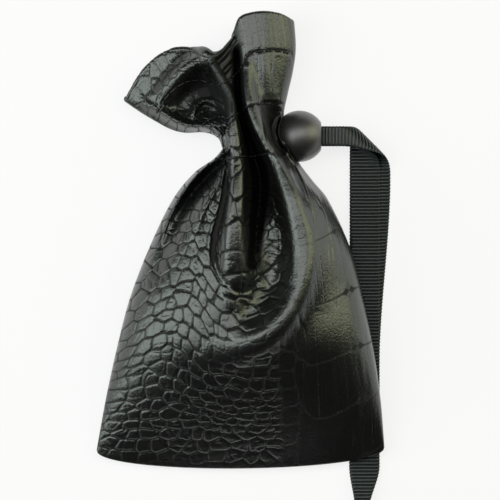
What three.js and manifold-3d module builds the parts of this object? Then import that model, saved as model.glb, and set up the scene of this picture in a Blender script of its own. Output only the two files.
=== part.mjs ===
// A drawstring dice bag of crocodile-embossed leather, lying on its back with its mouth drawn shut
// by a grosgrain ribbon and held by a round toggle bead.
// Millimetres. X runs across the bag, Y from its base seam to its mouth, Z up from the table.

import * as THREE from 'three';
import { mergeVertices } from 'three/addons/utils/BufferGeometryUtils.js';
import Module from 'manifold-3d';

// The bag
const BAG_WIDTH = 90; // along the base seam, corner to corner
const BAG_LENGTH = 142; // base seam to the top of the gathered mouth
const BAG_DEPTH = 28; // table to the fullest part of the body
const LEATHER = 1.2;
const HEM_DEPTH = 12; // rim to the hem stitches
const CASING_ABOVE = 10.5; // the channel that the ribbon runs in, from the cinch up
const CASING_BELOW = 5.5; // and from the cinch down
const TAPE_THICKNESS = 0.4;
const THREAD_DIAMETER = 0.6;

// The drawstring and its toggle
const RIBBON_WIDTH = 9.5;
const RIBBON_CUPPED_WIDTH = 6.2; // where it is squeezed through the bead and the neck
const RIBBON_THICKNESS = 0.4;
const RIBBON_CLEARANCE = 0.35; // between the two strands
const BEAD_DIAMETER = 16;
const BEAD_BORE = 7.4;
const BEAD_BORE_ROUNDING = 0.6;
const KNOT_WIDTH = 11;
const KNOT_LENGTH = 9.6;
const KNOT_DEPTH = 9.2;
const TAG_LENGTH = 14; // ribbon left over below the knot

const GAP = 0.3; // between pieces that touch
const BEAD_GAP = 2.5 * GAP; // kept free round the bead, which slides
const TABLE_GAP = 0.05; // under what lies loose on the table

// The drape is drawn in hundredths of the bag's width, length and depth.
const across = (share) => (share / 100) * BAG_WIDTH;
const along = (share) => (share / 100 - 0.5) * BAG_LENGTH;
const deep = (share) => (share / 100) * BAG_DEPTH;

const bead = new THREE.Vector3(across(20.4), along(72.8), BEAD_DIAMETER / 2 + GAP);
const NECK_HEIGHT = (bead.z / BAG_DEPTH) * 100;

// Outline seen from above: the two side seams run from the base to the cinched neck, then on to the rim.
const NECK = 0.62; // where the cinch lies on the way from base to rim
const LEFT_BODY = [[-50, 3.8], [-46.8, 14.8], [-43, 25.9], [-38.5, 36.9], [-31.9, 47.9],
  [-23.5, 58.9], [-16, 64.8], [-9, 68], [-6.2, 70]];
const LEFT_MOUTH = [[-6.2, 70], [-7.6, 72.3], [-12, 73.6], [-19.3, 73.6], [-24.2, 74.4],
  [-29.8, 76.3], [-35, 78.3], [-40.9, 80.9]];
const RIGHT_BODY = [[50, 4.5], [48.6, 14.8], [46.1, 25.9], [42.6, 36.9], [38.2, 47.9],
  [30.3, 58.9], [24.7, 63.3], [20, 67.4], [16.2, 72.8]];
const RIGHT_MOUTH = [[16.2, 72.8], [15.1, 77.5], [16.4, 82], [18.2, 87], [19.2, 92], [18.6, 98.4]];
// Each rim and neck point is led by its place from the left seam, 0, to the right seam, 1.
const RIM = [[0, -40.9, 80.9], [0.15, -33.5, 88], [0.3, -25, 91.9], [0.4, -17.9, 92.2],
  [0.48, -11, 90.2], [0.53, -6.8, 91.3], [0.58, -3.2, 94], [0.61, -1.6, 96], [0.64, -0.2, 98.5],
  [0.7, 3.3, 99.6], [0.8, 8.5, 100], [0.9, 13.7, 99.6], [1, 18.6, 98.4]];
const CINCH = [[0, -6.2, 70], [0.3, -3.6, 70.6], [0.48, -1.6, 71], [0.6, 2.8, 71.5],
  [0.8, 9.6, 72.2], [1, 16.2, 72.8]];
const BASE_DIP = 4.4; // how far the base seam bows out between its corners
const BASE_DIP_POWER = 0.45; // under 1 the bow stays full until close to the corners

// Height of the side seams and of the front's crown over them, by place from base to rim.
const LEFT_SEAM_HEIGHT = [[0, 10], [0.1, 17], [0.3, 21], [0.5, 25], [NECK, NECK_HEIGHT],
  [0.7, 27], [0.85, 20], [1, 14]];
const RIGHT_SEAM_HEIGHT = [[0, 15], [0.1, 25], [0.3, 28], [0.5, NECK_HEIGHT], [NECK, NECK_HEIGHT],
  [1, NECK_HEIGHT]];
const CROWN = [[0, 0], [0.03, 26], [0.08, 48], [0.16, 66], [0.28, 76], [0.4, 72], [0.5, 58],
  [0.58, 44], [NECK, 38], [0.72, 36], [0.85, 38], [1, 38]];
const WING_CROWN = 0.45; // the flared part of the mouth keeps this share of the crown
const WING_START = [0.66, 0.78]; // where it begins, on the way from base to rim
const WING_END = [0.4, 0.5]; // where the flare turns into the rolled part of the mouth

// Folds of the front: each point is across, along, rise (negative in a valley) and half width.
const FOLDS = [
  { name: 'narrow ridge', path: [[-11, 90, 8, 2.2], [-6.1, 85.1, 14, 2], [-3, 78.5, 20, 1.9],
    [-1.9, 70, 18, 1.9], [-1.9, 62.2, 14, 2.1], [-0.9, 55.6, 8, 2.4], [-2.3, 47.9, 2, 3]] },
  { name: 'deep valley', path: [[-5.4, 91, -14, 2.4], [-2.3, 85.3, -19, 3], [0, 80.9, -20.5, 2.3],
    [1, 77, -20.5, 2.2], [2.3, 73, -17, 2], [3.3, 67.7, -18, 2.4], [4.2, 59, -18, 3],
    [5.4, 51, -12, 3.2], [7.5, 45, -4, 3]] },
  { name: 'diagonal ridge', path: [[0.9, 84, 4, 3], [2.6, 77.6, 10, 3], [7.5, 71, 14, 3.2],
    [12, 67.7, 16, 3.2], [17.2, 62.2, 12, 3], [20.7, 55.6, 9, 3], [22.5, 47, 7, 3.2],
    [20, 39, 6, 3], [15.5, 33, 5, 3], [10.3, 29.2, 4, 3], [5, 27, 2, 3]] },
  { name: 'recess above the bead', path: [[7.5, 79.2, -8, 4], [11, 75.4, -10, 4], [14.1, 72, -6, 3.5]] },
  { name: 'shoulder pleat', path: [[11, 71.7, 3, 1.6], [16.2, 68.6, 5, 1.6], [21.4, 65.5, 3, 1.8]] },
  { name: 'body hollow', path: [[12, 58.9, -8, 3.5], [13.7, 51.2, -12, 5], [15.8, 43.5, -12, 6],
    [12.4, 35.8, -7, 6]] },
  { name: 'left shoulder hollow', path: [[-8.2, 67.1, -9, 2.2], [-15.8, 61.1, -9, 2.6],
    [-22.8, 55.6, -6, 3], [-27.3, 50.1, -3, 3]] },
  { name: 'hem roll', path: [[-34, 80.5, 4, 4], [-28, 83.1, 12, 4], [-23.8, 85.8, 18, 4],
    [-19.7, 88, 20, 4], [-15.1, 89.3, 16, 3.5], [-11, 90, 8, 3]] },
  { name: 'flare hollow', path: [[-20.4, 78.3, -6, 4], [-15.8, 81.4, -12, 5], [-11.3, 83.1, -12, 4],
    [-8.5, 80.9, -8, 3]] },
  { name: 'lip', path: [[-35, 79.4, 4, 2.4], [-28, 77, 12, 2.4], [-21.1, 75.2, 14, 2.4],
    [-12.4, 74.8, 8, 2.4]] },
];
const FOLD_START = 0.06; // folds fade out this close to a seam
const SEAM_EDGE = 1e-4;

// Back: flat on the table, rolled up to the seams over these widths.
const LEFT_ROLL = 11;
const RIGHT_ROLL = 18;
const BASE_ROLL = 8;
const ROLL_SHARE = 0.4; // of the bag's width there, at most
const ROLL_POWER = 1.5;
const NECK_LIFT = [[0, 0], [0.5, 0], [0.58, 3], [NECK, 5], [0.75, 5], [1, 3]];

const clamp = (value, low = 0, high = 1) => Math.min(Math.max(value, low), high);
const ease = (value) => clamp(value) ** 2 * (3 - 2 * clamp(value));
const mix = (a, b, t) => a + (b - a) * t;

// Smooth curve through keyed points [t, ...values], as its values at t.
function through(keys, t) {
  const last = keys.length - 1;
  let i = 0;
  while (i < last - 1 && t > keys[i + 1][0]) i += 1;
  const slope = (k, c) => {
    const before = keys[Math.max(k - 1, 0)];
    const after = keys[Math.min(k + 1, last)];
    return (after[c] - before[c]) / (after[0] - before[0]);
  };
  const span = keys[i + 1][0] - keys[i][0];
  const s = (t - keys[i][0]) / span;
  return keys[i].slice(1).map((value, k) => {
    const c = k + 1;
    const rise = keys[i + 1][c] - value;
    const start = slope(i, c) * span - rise;
    const end = rise - slope(i + 1, c) * span;
    return value + rise * s + s * (1 - s) * ((1 - s) * start + s * end);
  });
}

// Keys a list of points by the distance run along it, from 0 to 1.
function byDistance(points) {
  const runs = [0];
  for (let i = 1; i < points.length; i += 1) {
    runs.push(runs[i - 1] + Math.hypot(...points[i].map((value, k) => value - points[i - 1][k])));
  }
  return points.map((point, i) => [runs[i] / runs.at(-1), ...point]);
}

const leftBody = byDistance(LEFT_BODY);
const leftMouth = byDistance(LEFT_MOUTH);
const rightBody = byDistance(RIGHT_BODY);
const rightMouth = byDistance(RIGHT_MOUTH);

function baseSeam(u) {
  const [left, right] = [LEFT_BODY[0], RIGHT_BODY[0]];
  const dip = BASE_DIP * (4 * u * (1 - u)) ** BASE_DIP_POWER;
  return [mix(left[0], right[0], u), mix(left[1], right[1], u) - dip];
}

// Place in hundredths at u from the left seam to the right seam and v from base to rim.
function outline(u, v) {
  const inBody = v <= NECK;
  const t = inBody ? v / NECK : (v - NECK) / (1 - NECK);
  const low = inBody ? baseSeam(u) : through(CINCH, u);
  const high = inBody ? through(CINCH, u) : through(RIM, u);
  const left = through(inBody ? leftBody : leftMouth, t);
  const right = through(inBody ? rightBody : rightMouth, t);
  const corners = inBody ? [LEFT_BODY, RIGHT_BODY] : [LEFT_MOUTH, RIGHT_MOUTH];
  return [0, 1].map((k) => {
    const straight = mix(low[k], high[k], t) + mix(left[k], right[k], u);
    const bottom = mix(corners[0][0][k], corners[1][0][k], u);
    const top = mix(corners[0].at(-1)[k], corners[1].at(-1)[k], u);
    return straight - mix(bottom, top, t);
  });
}

// Rise of one fold at a place, all in hundredths.
function foldRise(path, x, y) {
  let nearest = Infinity;
  let rise = 0;
  for (let i = 1; i < path.length; i += 1) {
    const [a, b] = [path[i - 1], path[i]];
    const [runX, runY] = [across(b[0] - a[0]), along(b[1]) - along(a[1])];
    const [toX, toY] = [across(x - a[0]), along(y) - along(a[1])];
    const s = clamp((runX * toX + runY * toY) / (runX ** 2 + runY ** 2));
    const distance = Math.hypot(toX - s * runX, toY - s * runY) / across(mix(a[3], b[3], s));
    if (distance < nearest) {
      nearest = distance;
      rise = mix(a[2], b[2], s) * Math.exp(-(distance ** 2));
    }
  }
  return rise;
}

function seamHeight(u, v) {
  return mix(through(LEFT_SEAM_HEIGHT, v)[0], through(RIGHT_SEAM_HEIGHT, v)[0], u);
}

// The seam parts on the right where the ribbon comes out of its casing.
const EXIT_HALF_LENGTH = RIBBON_CUPPED_WIDTH / 2 + GAP + 1;
const EXIT_FADE = 4;
const EXIT_DEPTH = 0.25;
const strandPitch = RIBBON_THICKNESS + RIBBON_CLEARANCE;

function exitHalfOpening(u, y) {
  const beside = ease(1 - (Math.abs(along(y) - bead.y) - EXIT_HALF_LENGTH) / EXIT_FADE);
  const within = ease(1 - (1 - u) / EXIT_DEPTH);
  return beside * within * (strandPitch / 2 + RIBBON_THICKNESS / 2 + GAP);
}

// Half of the height that parts the two panels over the seams.
const seamHalfGap = (u, v) => GAP / 2 + exitHalfOpening(u, outline(u, v)[1]);

// The leather is pressed in where the bead is drawn up against it, at a depth under its outer surface.
function pressedByBead(point, depth = 0) {
  const clear = BEAD_DIAMETER / 2 + BEAD_GAP + depth;
  const away = point.clone().sub(bead);
  if (away.length() < clear) point.copy(bead).addScaledVector(away.normalize(), clear);
  point.z = Math.max(point.z, 0);
  return point;
}

// Upper surface of the front panel. Under a ridge the leather is doubled, so its underside leaves the ridges out.
function frontSheet(u, v, ridges = 1) {
  const [x, y] = outline(u, v);
  const isWing = 1 - ease((u - WING_END[0]) / (WING_END[1] - WING_END[0]));
  const wing = isWing * ease((v - WING_START[0]) / (WING_START[1] - WING_START[0]));
  const crown = through(CROWN, v)[0] * Math.sqrt(4 * u * (1 - u)) * mix(1, WING_CROWN, wing);
  const clear = ease(u / FOLD_START) * ease((1 - u) / FOLD_START) * ease(v / FOLD_START);
  const rises = FOLDS.map((fold) => foldRise(fold.path, x, y));
  const folds = rises.reduce((sum, rise) => sum + (rise > 0 ? rise * ridges : rise), 0) * clear;
  const height = deep(seamHeight(u, v) + crown + folds) + seamHalfGap(u, v);
  return new THREE.Vector3(across(x), along(y), height);
}

const frontUnder = (u, v) => frontSheet(u, v, 0);

function backSheet(u, v) {
  const [x, y] = outline(u, v);
  const [left, right] = [outline(0, v), outline(1, v)];
  const widest = ROLL_SHARE * across(right[0] - left[0]);
  const roll = (distance, width) => clamp(1 - distance / width) ** ROLL_POWER;
  const flat = (1 - roll(across(x - left[0]), Math.min(LEFT_ROLL, widest)))
    * (1 - roll(across(right[0] - x), Math.min(RIGHT_ROLL, widest)))
    * (1 - roll(along(y) - along(baseSeam(u)[1]), BASE_ROLL));
  const lift = through(NECK_LIFT, v)[0];
  const height = deep(mix(seamHeight(u, v), lift, flat)) - seamHalfGap(u, v) * (1 - flat);
  return new THREE.Vector3(across(x), along(y), Math.max(height, 0));
}

const front = (u, v) => pressedByBead(frontSheet(u, v));
const back = (u, v) => pressedByBead(backSheet(u, v));

// The unit tangents of a surface and the normal on their left.
function slopes(surface, u, v) {
  const step = 1e-4;
  const [du, dv] = [u + step > 1 ? -step : step, v + step > 1 ? -step : step];
  const here = surface(u, v);
  const alongU = surface(u + du, v).sub(here).multiplyScalar(Math.sign(du)).normalize();
  const alongV = surface(u, v + dv).sub(here).multiplyScalar(Math.sign(dv)).normalize();
  const normal = alongU.clone().cross(alongV).normalize();
  return { here, alongU, alongV, normal };
}

// The surface raised by a height, along its normal.
const raised = (surface, height) => (u, v) => {
  const { here, normal } = slopes(surface, u, v);
  return here.addScaledVector(normal, height);
};

// The surface a depth inside the bag from one of its panels. side is 1 for the front, -1 for the back.
// At a seam the wall stands level with the outer edge, and no inner surface crosses the parting of the panels.
const inside = (surface, side, depth) => (u, v) => {
  const { here, alongV, normal } = slopes(surface, u, v);
  const [onLeft, onRight, onBase] = [u < SEAM_EDGE, u > 1 - SEAM_EDGE, v < SEAM_EDGE];
  const inward = normal.multiplyScalar(-side);
  if (onLeft || onRight || onBase) {
    inward.set(0, onBase ? 1 : 0, 0);
    const fromSeam = new THREE.Vector3(alongV.y, -alongV.x, 0).normalize();
    if (onLeft || onRight) inward.addScaledVector(fromSeam, onLeft ? 1 : -1);
    inward.normalize();
  }
  pressedByBead(here.addScaledVector(inward, depth), depth);
  const parting = deep(seamHeight(u, v));
  const clear = seamHalfGap(u, v);
  here.z = side > 0 ? Math.max(here.z, parting + clear) : Math.min(here.z, parting - clear);
  return here;
};

// A closed skin between an outer and an inner surface, through lists of places across and along them.
function skin(outer, inner, us, vs) {
  const width = us.length;
  const size = width * vs.length;
  const [columns, rows] = [us.length - 1, vs.length - 1];
  const position = [];
  for (const surface of [outer, inner]) {
    for (const v of vs) {
      for (const u of us) position.push(...surface(u, v));
    }
  }
  const index = [];
  const quad = (a, b, c, d) => index.push(a, b, c, a, c, d);
  const at = (i, j) => j * width + i;
  for (let j = 0; j < rows; j += 1) {
    for (let i = 0; i < columns; i += 1) {
      const [a, b, c, d] = [at(i, j), at(i + 1, j), at(i + 1, j + 1), at(i, j + 1)];
      quad(a, b, c, d);
      quad(size + d, size + c, size + b, size + a);
    }
  }
  for (let i = 0; i < columns; i += 1) {
    quad(at(i + 1, 0), at(i, 0), size + at(i, 0), size + at(i + 1, 0));
    quad(at(i, rows), at(i + 1, rows), size + at(i + 1, rows), size + at(i, rows));
  }
  for (let j = 0; j < rows; j += 1) {
    quad(at(0, j), at(0, j + 1), size + at(0, j + 1), size + at(0, j));
    quad(at(columns, j + 1), at(columns, j), size + at(columns, j), size + at(columns, j + 1));
  }
  const geometry = new THREE.BufferGeometry();
  geometry.setAttribute('position', new THREE.Float32BufferAttribute(position, 3));
  geometry.setIndex(index);
  return geometry;
}

// Places from one value to another in equal steps.
const steps = (from, to, count) => Array.from({ length: count + 1 }, (_, i) => mix(from, to, i / count));

// A round thread through a list of points, with a ring of six corners at each.
function thread(points) {
  const sides = 6;
  const radius = THREAD_DIAMETER / 2;
  const position = [];
  points.forEach((point, i) => {
    const run = points[Math.min(i + 1, points.length - 1)].clone().sub(points[Math.max(i - 1, 0)]).normalize();
    const level = new THREE.Vector3(0, 0, 1).cross(run).normalize();
    const upright = run.clone().cross(level);
    for (let k = 0; k < sides; k += 1) {
      const turn = (2 * Math.PI * k) / sides;
      const corner = point.clone().addScaledVector(level, radius * Math.cos(turn));
      position.push(...corner.addScaledVector(upright, radius * Math.sin(turn)));
    }
  });
  const index = [];
  const last = (points.length - 1) * sides;
  for (let i = 0; i < points.length - 1; i += 1) {
    for (let k = 0; k < sides; k += 1) {
      const [a, b] = [i * sides + k, i * sides + ((k + 1) % sides)];
      index.push(a, b, b + sides, a, b + sides, a + sides);
    }
  }
  for (let k = 1; k < sides - 1; k += 1) {
    index.push(0, k + 1, k);
    index.push(last, last + k, last + k + 1);
  }
  const geometry = new THREE.BufferGeometry();
  geometry.setAttribute('position', new THREE.Float32BufferAttribute(position, 3));
  geometry.setIndex(index);
  return geometry;
}

const wasm = await Module();
wasm.setup();

function solid(geometry) {
  const bare = geometry.clone().deleteAttribute('normal').deleteAttribute('uv');
  const merged = mergeVertices(bare, 1e-4);
  const vertProperties = merged.attributes.position.array;
  const triVerts = new Uint32Array(merged.index.array);
  return new wasm.Manifold(new wasm.Mesh({ numProp: 3, vertProperties, triVerts }));
}

function joined(...geometries) {
  const mesh = geometries.map(solid).reduce((whole, piece) => whole.add(piece)).getMesh();
  const geometry = new THREE.BufferGeometry();
  geometry.setAttribute('position', new THREE.BufferAttribute(mesh.vertProperties, 3));
  geometry.setIndex(new THREE.BufferAttribute(mesh.triVerts, 1));
  return geometry;
}

const part = new THREE.Group();

function add(name, geometry, material) {
  const mesh = new THREE.Mesh(geometry, material);
  mesh.name = name;
  part.add(mesh);
  return mesh;
}

const leather = new THREE.MeshStandardMaterial({ color: '#151514', roughness: 0.42 });
const fabric = new THREE.MeshStandardMaterial({ color: '#1a1a1a', roughness: 0.9 });
const stitching = new THREE.MeshStandardMaterial({ color: '#101010', roughness: 0.7 });
const grosgrain = new THREE.MeshStandardMaterial({ color: '#18201f', roughness: 0.6 });
const lacquer = new THREE.MeshStandardMaterial({ color: '#131312', roughness: 0.35 });

// Places along the bag of its stitch lines, measured up the rolled part of the mouth and down the body.
const mouthLength = along(RIM[10][2]) - along(CINCH[4][2]);
const bodyLength = along(CINCH[4][2]) - along(0);
const hemLine = 1 - (HEM_DEPTH / mouthLength) * (1 - NECK);
const casingTop = NECK + (CASING_ABOVE / mouthLength) * (1 - NECK);
const casingFoot = NECK * (1 - CASING_BELOW / bodyLength);

// Panels. The back faces down, so its places across run the other way.
const acrossFront = [...steps(0, 0.44, 10), ...steps(0.44, 0.72, 20).slice(1), ...steps(0.72, 1, 8).slice(1)];
const acrossBack = steps(1, 0, 20);
const alongCasing = [...steps(casingFoot, NECK, 2), ...steps(NECK, casingTop, 4).slice(1)];
const alongBag = [...steps(0, casingFoot, 19).slice(0, -1), ...alongCasing,
  ...steps(casingTop, hemLine, 4).slice(1), ...steps(hemLine, 1, 4).slice(1)];
add('front_panel', skin(front, inside(frontUnder, 1, LEATHER), acrossFront, alongBag), leather);
add('back_panel', skin(back, inside(backSheet, -1, LEATHER), acrossBack, alongBag), leather);

// The casing is a tape sewn inside each panel at the neck. The front one is stretched straight under the folds.
const FRONT_TAPE_ENDS = [0.3, 0.8];
const BACK_TAPE_ENDS = [0.1, 0.8];
const tapeDepths = [LEATHER + 2 * GAP, LEATHER + 2 * GAP + TAPE_THICKNESS];
const within = (places, [low, high]) => places.filter((u) => u >= low && u <= high);
const acrossFrontTape = within(acrossFront, FRONT_TAPE_ENDS);
const tapeLevel = (v) => Math.min(...acrossFrontTape.map((u) => frontUnder(u, v).z));

const stretched = (depth) => (u, v) => {
  const [x, y] = outline(u, v);
  return new THREE.Vector3(across(x), along(y), tapeLevel(v) - depth);
};

add('casing_tape_front', skin(...tapeDepths.map(stretched), acrossFrontTape, alongCasing), fabric);
add('casing_tape_back', skin(...tapeDepths.map((depth) => inside(backSheet, -1, depth)),
  within(acrossBack, BACK_TAPE_ENDS), alongCasing), fabric);

// Stitches that show on the outside, one thread along each line, short of the seams and of the bead.
const proud = 1.5 * GAP + THREAD_DIAMETER / 2;

function stitches(name, v, ends) {
  const onFront = (u) => raised(front, proud)(u, v);
  const onBack = (u) => {
    const point = raised(back, -proud)(u, v);
    point.z = Math.max(point.z, TABLE_GAP + THREAD_DIAMETER / 2);
    return point;
  };
  add(`${name}_thread_front`, thread(within(acrossFront, ends).map(onFront)), stitching);
  add(`${name}_thread_back`, thread(within(acrossBack, ends).map(onBack)), stitching);
}

stitches('hem', hemLine, [0.03, 0.97]);
stitches('casing_upper', casingTop, [0.06, 0.9]);
stitches('casing_lower', casingFoot, [0.06, 0.84]);

// Seam threads run just inside the edges that they close. The right seam is open where the ribbon comes out.
const seamRise = GAP / 2 + GAP + THREAD_DIAMETER / 2;
const seamInset = LEATHER + 3 * GAP + THREAD_DIAMETER / 2;
const FLARE_INSET = 3.4; // the left seam's thread lies deeper and lower where the mouth flares
const FLARE_RISE = 1.1 * GAP;
const FLARE_OVER = 0.06; // of the way from base to rim
const LEFT_SEAM_ENDS = [0.07, 0.97];
const RIGHT_SEAM_ENDS = [0.05, 0.985];
const BOTTOM_SEAM_ENDS = [0.1, 0.9];

function sideSeamThread(u, vs) {
  return thread(vs.map((v) => {
    const { alongV } = slopes(front, u, v);
    const [x, y] = outline(u, v);
    const inward = new THREE.Vector3(alongV.y, -alongV.x, 0).normalize();
    const flare = u < 0.5 ? ease((v - NECK) / FLARE_OVER) : 0;
    const rise = mix(seamRise, FLARE_RISE, flare);
    const point = new THREE.Vector3(across(x), along(y), deep(seamHeight(u, v)) + rise);
    return point.addScaledVector(inward, (u < 0.5 ? 1 : -1) * mix(seamInset, FLARE_INSET, flare));
  }));
}

function baseSeamThread(us) {
  return thread(us.map((u) => {
    const [x, y] = baseSeam(u);
    return new THREE.Vector3(across(x), along(y) + seamInset + GAP, deep(seamHeight(u, 0)) + seamRise);
  }));
}

const exitFoot = NECK - ((EXIT_HALF_LENGTH + EXIT_FADE) / bodyLength) * NECK - 0.01;
const exitTop = NECK + ((EXIT_HALF_LENGTH + EXIT_FADE) / mouthLength) * (1 - NECK);
add('side_seam_thread_left', sideSeamThread(0, steps(...LEFT_SEAM_ENDS, 38)), stitching);
add('side_seam_thread_right_lower', sideSeamThread(1, steps(RIGHT_SEAM_ENDS[0], exitFoot, 20)), stitching);
add('side_seam_thread_right_upper', sideSeamThread(1, steps(exitTop, RIGHT_SEAM_ENDS[1], 14)), stitching);
add('bottom_seam_thread', baseSeamThread(steps(...BOTTOM_SEAM_ENDS, 20)), stitching);

// Toggle bead, bored along X for the two strands of ribbon.
const boreRadius = BEAD_BORE / 2;
const boreMouth = Math.sqrt((BEAD_DIAMETER / 2) ** 2 - boreRadius ** 2);

function beadGeometry() {
  const radius = BEAD_DIAMETER / 2;
  const rim = boreRadius + BEAD_BORE_ROUNDING;
  const from = Math.asin(rim / radius);
  const profile = steps(from, Math.PI - from, 14)
    .map((turn) => new THREE.Vector2(radius * Math.sin(turn), -radius * Math.cos(turn)));
  const inner = boreMouth - BEAD_BORE_ROUNDING;
  profile.push(new THREE.Vector2(boreRadius, inner), new THREE.Vector2(boreRadius, -inner));
  profile.push(profile[0].clone());
  return new THREE.LatheGeometry(profile, 28);
}

const toggle = add('toggle_bead', beadGeometry(), lacquer);
toggle.rotation.z = -Math.PI / 2;
toggle.position.copy(bead);

// The ribbon loop inside the neck: in through the bead, round the neck between the tapes, and out again.
// Its course is drawn in the cross-section of the neck, as distances and heights.
const halfPitch = strandPitch / 2;
const exitX = bead.x - boreMouth;
const loopDepth = tapeDepths[1] + 2 * GAP + RIBBON_THICKNESS / 2;
const loopEdge = NECK + (RIBBON_CUPPED_WIDTH / 2 / mouthLength) * (1 - NECK);
const loopHigh = tapeLevel(loopEdge) - loopDepth;
const LOOP_PLACES = [0.4, 0.5, 0.6, 0.7]; // across the back panel
const overBack = LOOP_PLACES.map((u) => inside(backSheet, -1, loopDepth)(u, NECK)).map(({ x, z }) => [x, z]);
const [loopLeft, loopRight] = [overBack[0], overBack.at(-1)];
const LOOP_PARTING = [[2.4, 0.06], [4.4, 0.7]]; // distance in from the bead, and share of the way to its level
const LOOP_TURN = [1, 0.4]; // in and out of its left end, where the ribbon turns back
const halfLoop = (side, level) => {
  const strand = bead.z + side * halfPitch;
  const parting = LOOP_PARTING.map(([distance, share]) => [exitX - distance, mix(strand, level, share)]);
  return [[bead.x + boreMouth, strand], [bead.x, strand], [exitX, strand], ...parting];
};
const loopTurn = [[loopLeft[0] + LOOP_TURN[0], loopHigh],
  [loopLeft[0] - LOOP_TURN[1], mix(loopHigh, loopLeft[1], 0.5)]];
const loopCourse = [...halfLoop(1, loopHigh), [loopRight[0], loopHigh], ...loopTurn, ...overBack,
  ...halfLoop(-1, loopRight[1]).reverse()];
const loopPoints = loopCourse.map(([x, z]) => new THREE.Vector3(x, 0, z));
const loopCurve = new THREE.CatmullRomCurve3(loopPoints, false, 'centripetal');

function loopSurface(s, t) {
  const point = loopCurve.getPointAt(s);
  const tilt = (outline(1, NECK)[1] - outline(0, NECK)[1]) / (outline(1, NECK)[0] - outline(0, NECK)[0]);
  point.y = bead.y + along(50 + tilt * (Math.min(point.x, exitX) - exitX) / across(1));
  point.y += (t - 0.5) * RIBBON_CUPPED_WIDTH;
  return point;
}

const ribbonFaces = (surface) => [raised(surface, RIBBON_THICKNESS / 2), raised(surface, -RIBBON_THICKNESS / 2)];
add('drawstring_neck_loop', skin(...ribbonFaces(loopSurface), steps(0, 1, 56), [0, 0.5, 1]), grosgrain);

// The two free strands leave the bead, fold over a slant so that they turn down the bag's right side, and run
// under its edge to the knot. Each is a flat strip wrapped half way round a slanted cylinder.
const knot = new THREE.Vector3(across(42.3), along(-12.4), KNOT_DEPTH / 2 + TABLE_GAP);
const STRANDS = [
  { name: 'inner', side: -1, foldX: across(35) },
  { name: 'outer', side: 1, foldX: across(36.8) },
];
const TAIL_X = across(43.2); // both strands drift in under the bag's edge to here
const DRIFT_FROM = along(64);
const DRIFT_OVER = 60;
const WIDEN_FROM = 6; // from the bead, to lie at its full width after WIDEN_OVER
const WIDEN_OVER = 12;
const NARROW_OVER = 14; // before the knot
const tuckedWidth = 0.45 * KNOT_WIDTH;

function strand({ side, foldX }) {
  const start = bead.x + boreMouth + GAP;
  const top = bead.z + side * halfPitch;
  const table = TABLE_GAP + RIBBON_THICKNESS / 2 + (side < 0 ? strandPitch : 0);
  const radius = (top - table) / 2;
  const straight = foldX - start;
  const knotTop = knot.y + KNOT_LENGTH / 2 + GAP;
  const runX = foldX + (Math.PI * radius) / Math.SQRT2;
  const length = straight + (Math.PI * radius) / Math.SQRT2 + bead.y - knotTop;
  return (s, t) => {
    const run = s * length;
    const wide = mix(RIBBON_CUPPED_WIDTH, RIBBON_WIDTH, ease((run - WIDEN_FROM) / WIDEN_OVER));
    const width = mix(wide, tuckedWidth, ease(1 - (length - run) / NARROW_OVER));
    const [x, y] = [run - straight, (t - 0.5) * width];
    const [slant, turn] = [(x - y) / Math.SQRT2, (x + y) / Math.SQRT2];
    const angle = clamp(turn / radius, 0, Math.PI);
    const folded = turn <= 0 ? turn : radius * Math.sin(angle) - Math.max(turn - Math.PI * radius, 0);
    const point = new THREE.Vector3(foldX + (slant + folded) / Math.SQRT2, bead.y + (folded - slant) / Math.SQRT2,
      top - radius * (1 - Math.cos(angle)));
    const down = ease((DRIFT_FROM - point.y) / DRIFT_OVER);
    point.x += down * (TAIL_X - runX);
    const nearKnot = ease(1 - (point.y - knotTop) / NARROW_OVER);
    point.x += nearKnot * (knot.x - TAIL_X);
    point.z += nearKnot * (knot.z / 2);
    return point;
  };
}

const FOLD_PART = 0.28; // this much of a strand holds its fold, and is made in the finer steps
const alongStrand = [...steps(0, FOLD_PART, 28), ...steps(FOLD_PART, 1, 20).slice(1)];
for (const each of STRANDS) {
  add(`drawstring_tail_${each.name}`, skin(...ribbonFaces(strand(each)), alongStrand, steps(0, 1, 3)), grosgrain);
}

// Overhand knot: a lump with a band drawn slantwise over it.
const KNOT_LUMP = [0.82, 1, 0.86]; // of the knot's width, length and depth
const KNOT_BAND = 0.19; // half the band's thickness, of the knot's depth
const KNOT_SLANT = 0.5;

function knotGeometry() {
  const [x, y, z] = KNOT_LUMP;
  const lump = new THREE.SphereGeometry(0.5, 18, 10).scale(x * KNOT_WIDTH, y * KNOT_LENGTH, z * KNOT_DEPTH);
  const bandRadius = KNOT_BAND * KNOT_DEPTH;
  const band = new THREE.TorusGeometry(KNOT_DEPTH / 2 - bandRadius, bandRadius, 8, 20);
  band.scale(KNOT_WIDTH / KNOT_DEPTH, 1, 1).rotateX(Math.PI / 2).rotateZ(KNOT_SLANT);
  return joined(lump, band);
}

add('end_knot', knotGeometry(), grosgrain).position.copy(knot);

// Ribbon left over below the knot, cut on the slant.
const TAGS = [
  { name: 'inner', side: -1, turn: 0.16 },
  { name: 'outer', side: 1, turn: -0.12 },
];
const TAG_CUT = 3;

function tag({ side, turn }) {
  const foot = knot.y - KNOT_LENGTH / 2 - GAP;
  const table = TABLE_GAP + RIBBON_THICKNESS / 2 + (side < 0 ? strandPitch : 0);
  return (s, t) => {
    const length = TAG_LENGTH - TAG_CUT * (side < 0 ? t : 1 - t);
    const width = mix(tuckedWidth, RIBBON_WIDTH, ease((2 * s * length) / TAG_LENGTH));
    const [x, y] = [(0.5 - t) * width, -s * length];
    const point = new THREE.Vector3(knot.x + x * Math.cos(turn) - y * Math.sin(turn),
      foot + x * Math.sin(turn) + y * Math.cos(turn), table);
    point.z += (knot.z / 2) * ease(1 - (2 * (foot - point.y)) / TAG_LENGTH);
    return point;
  };
}

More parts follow.
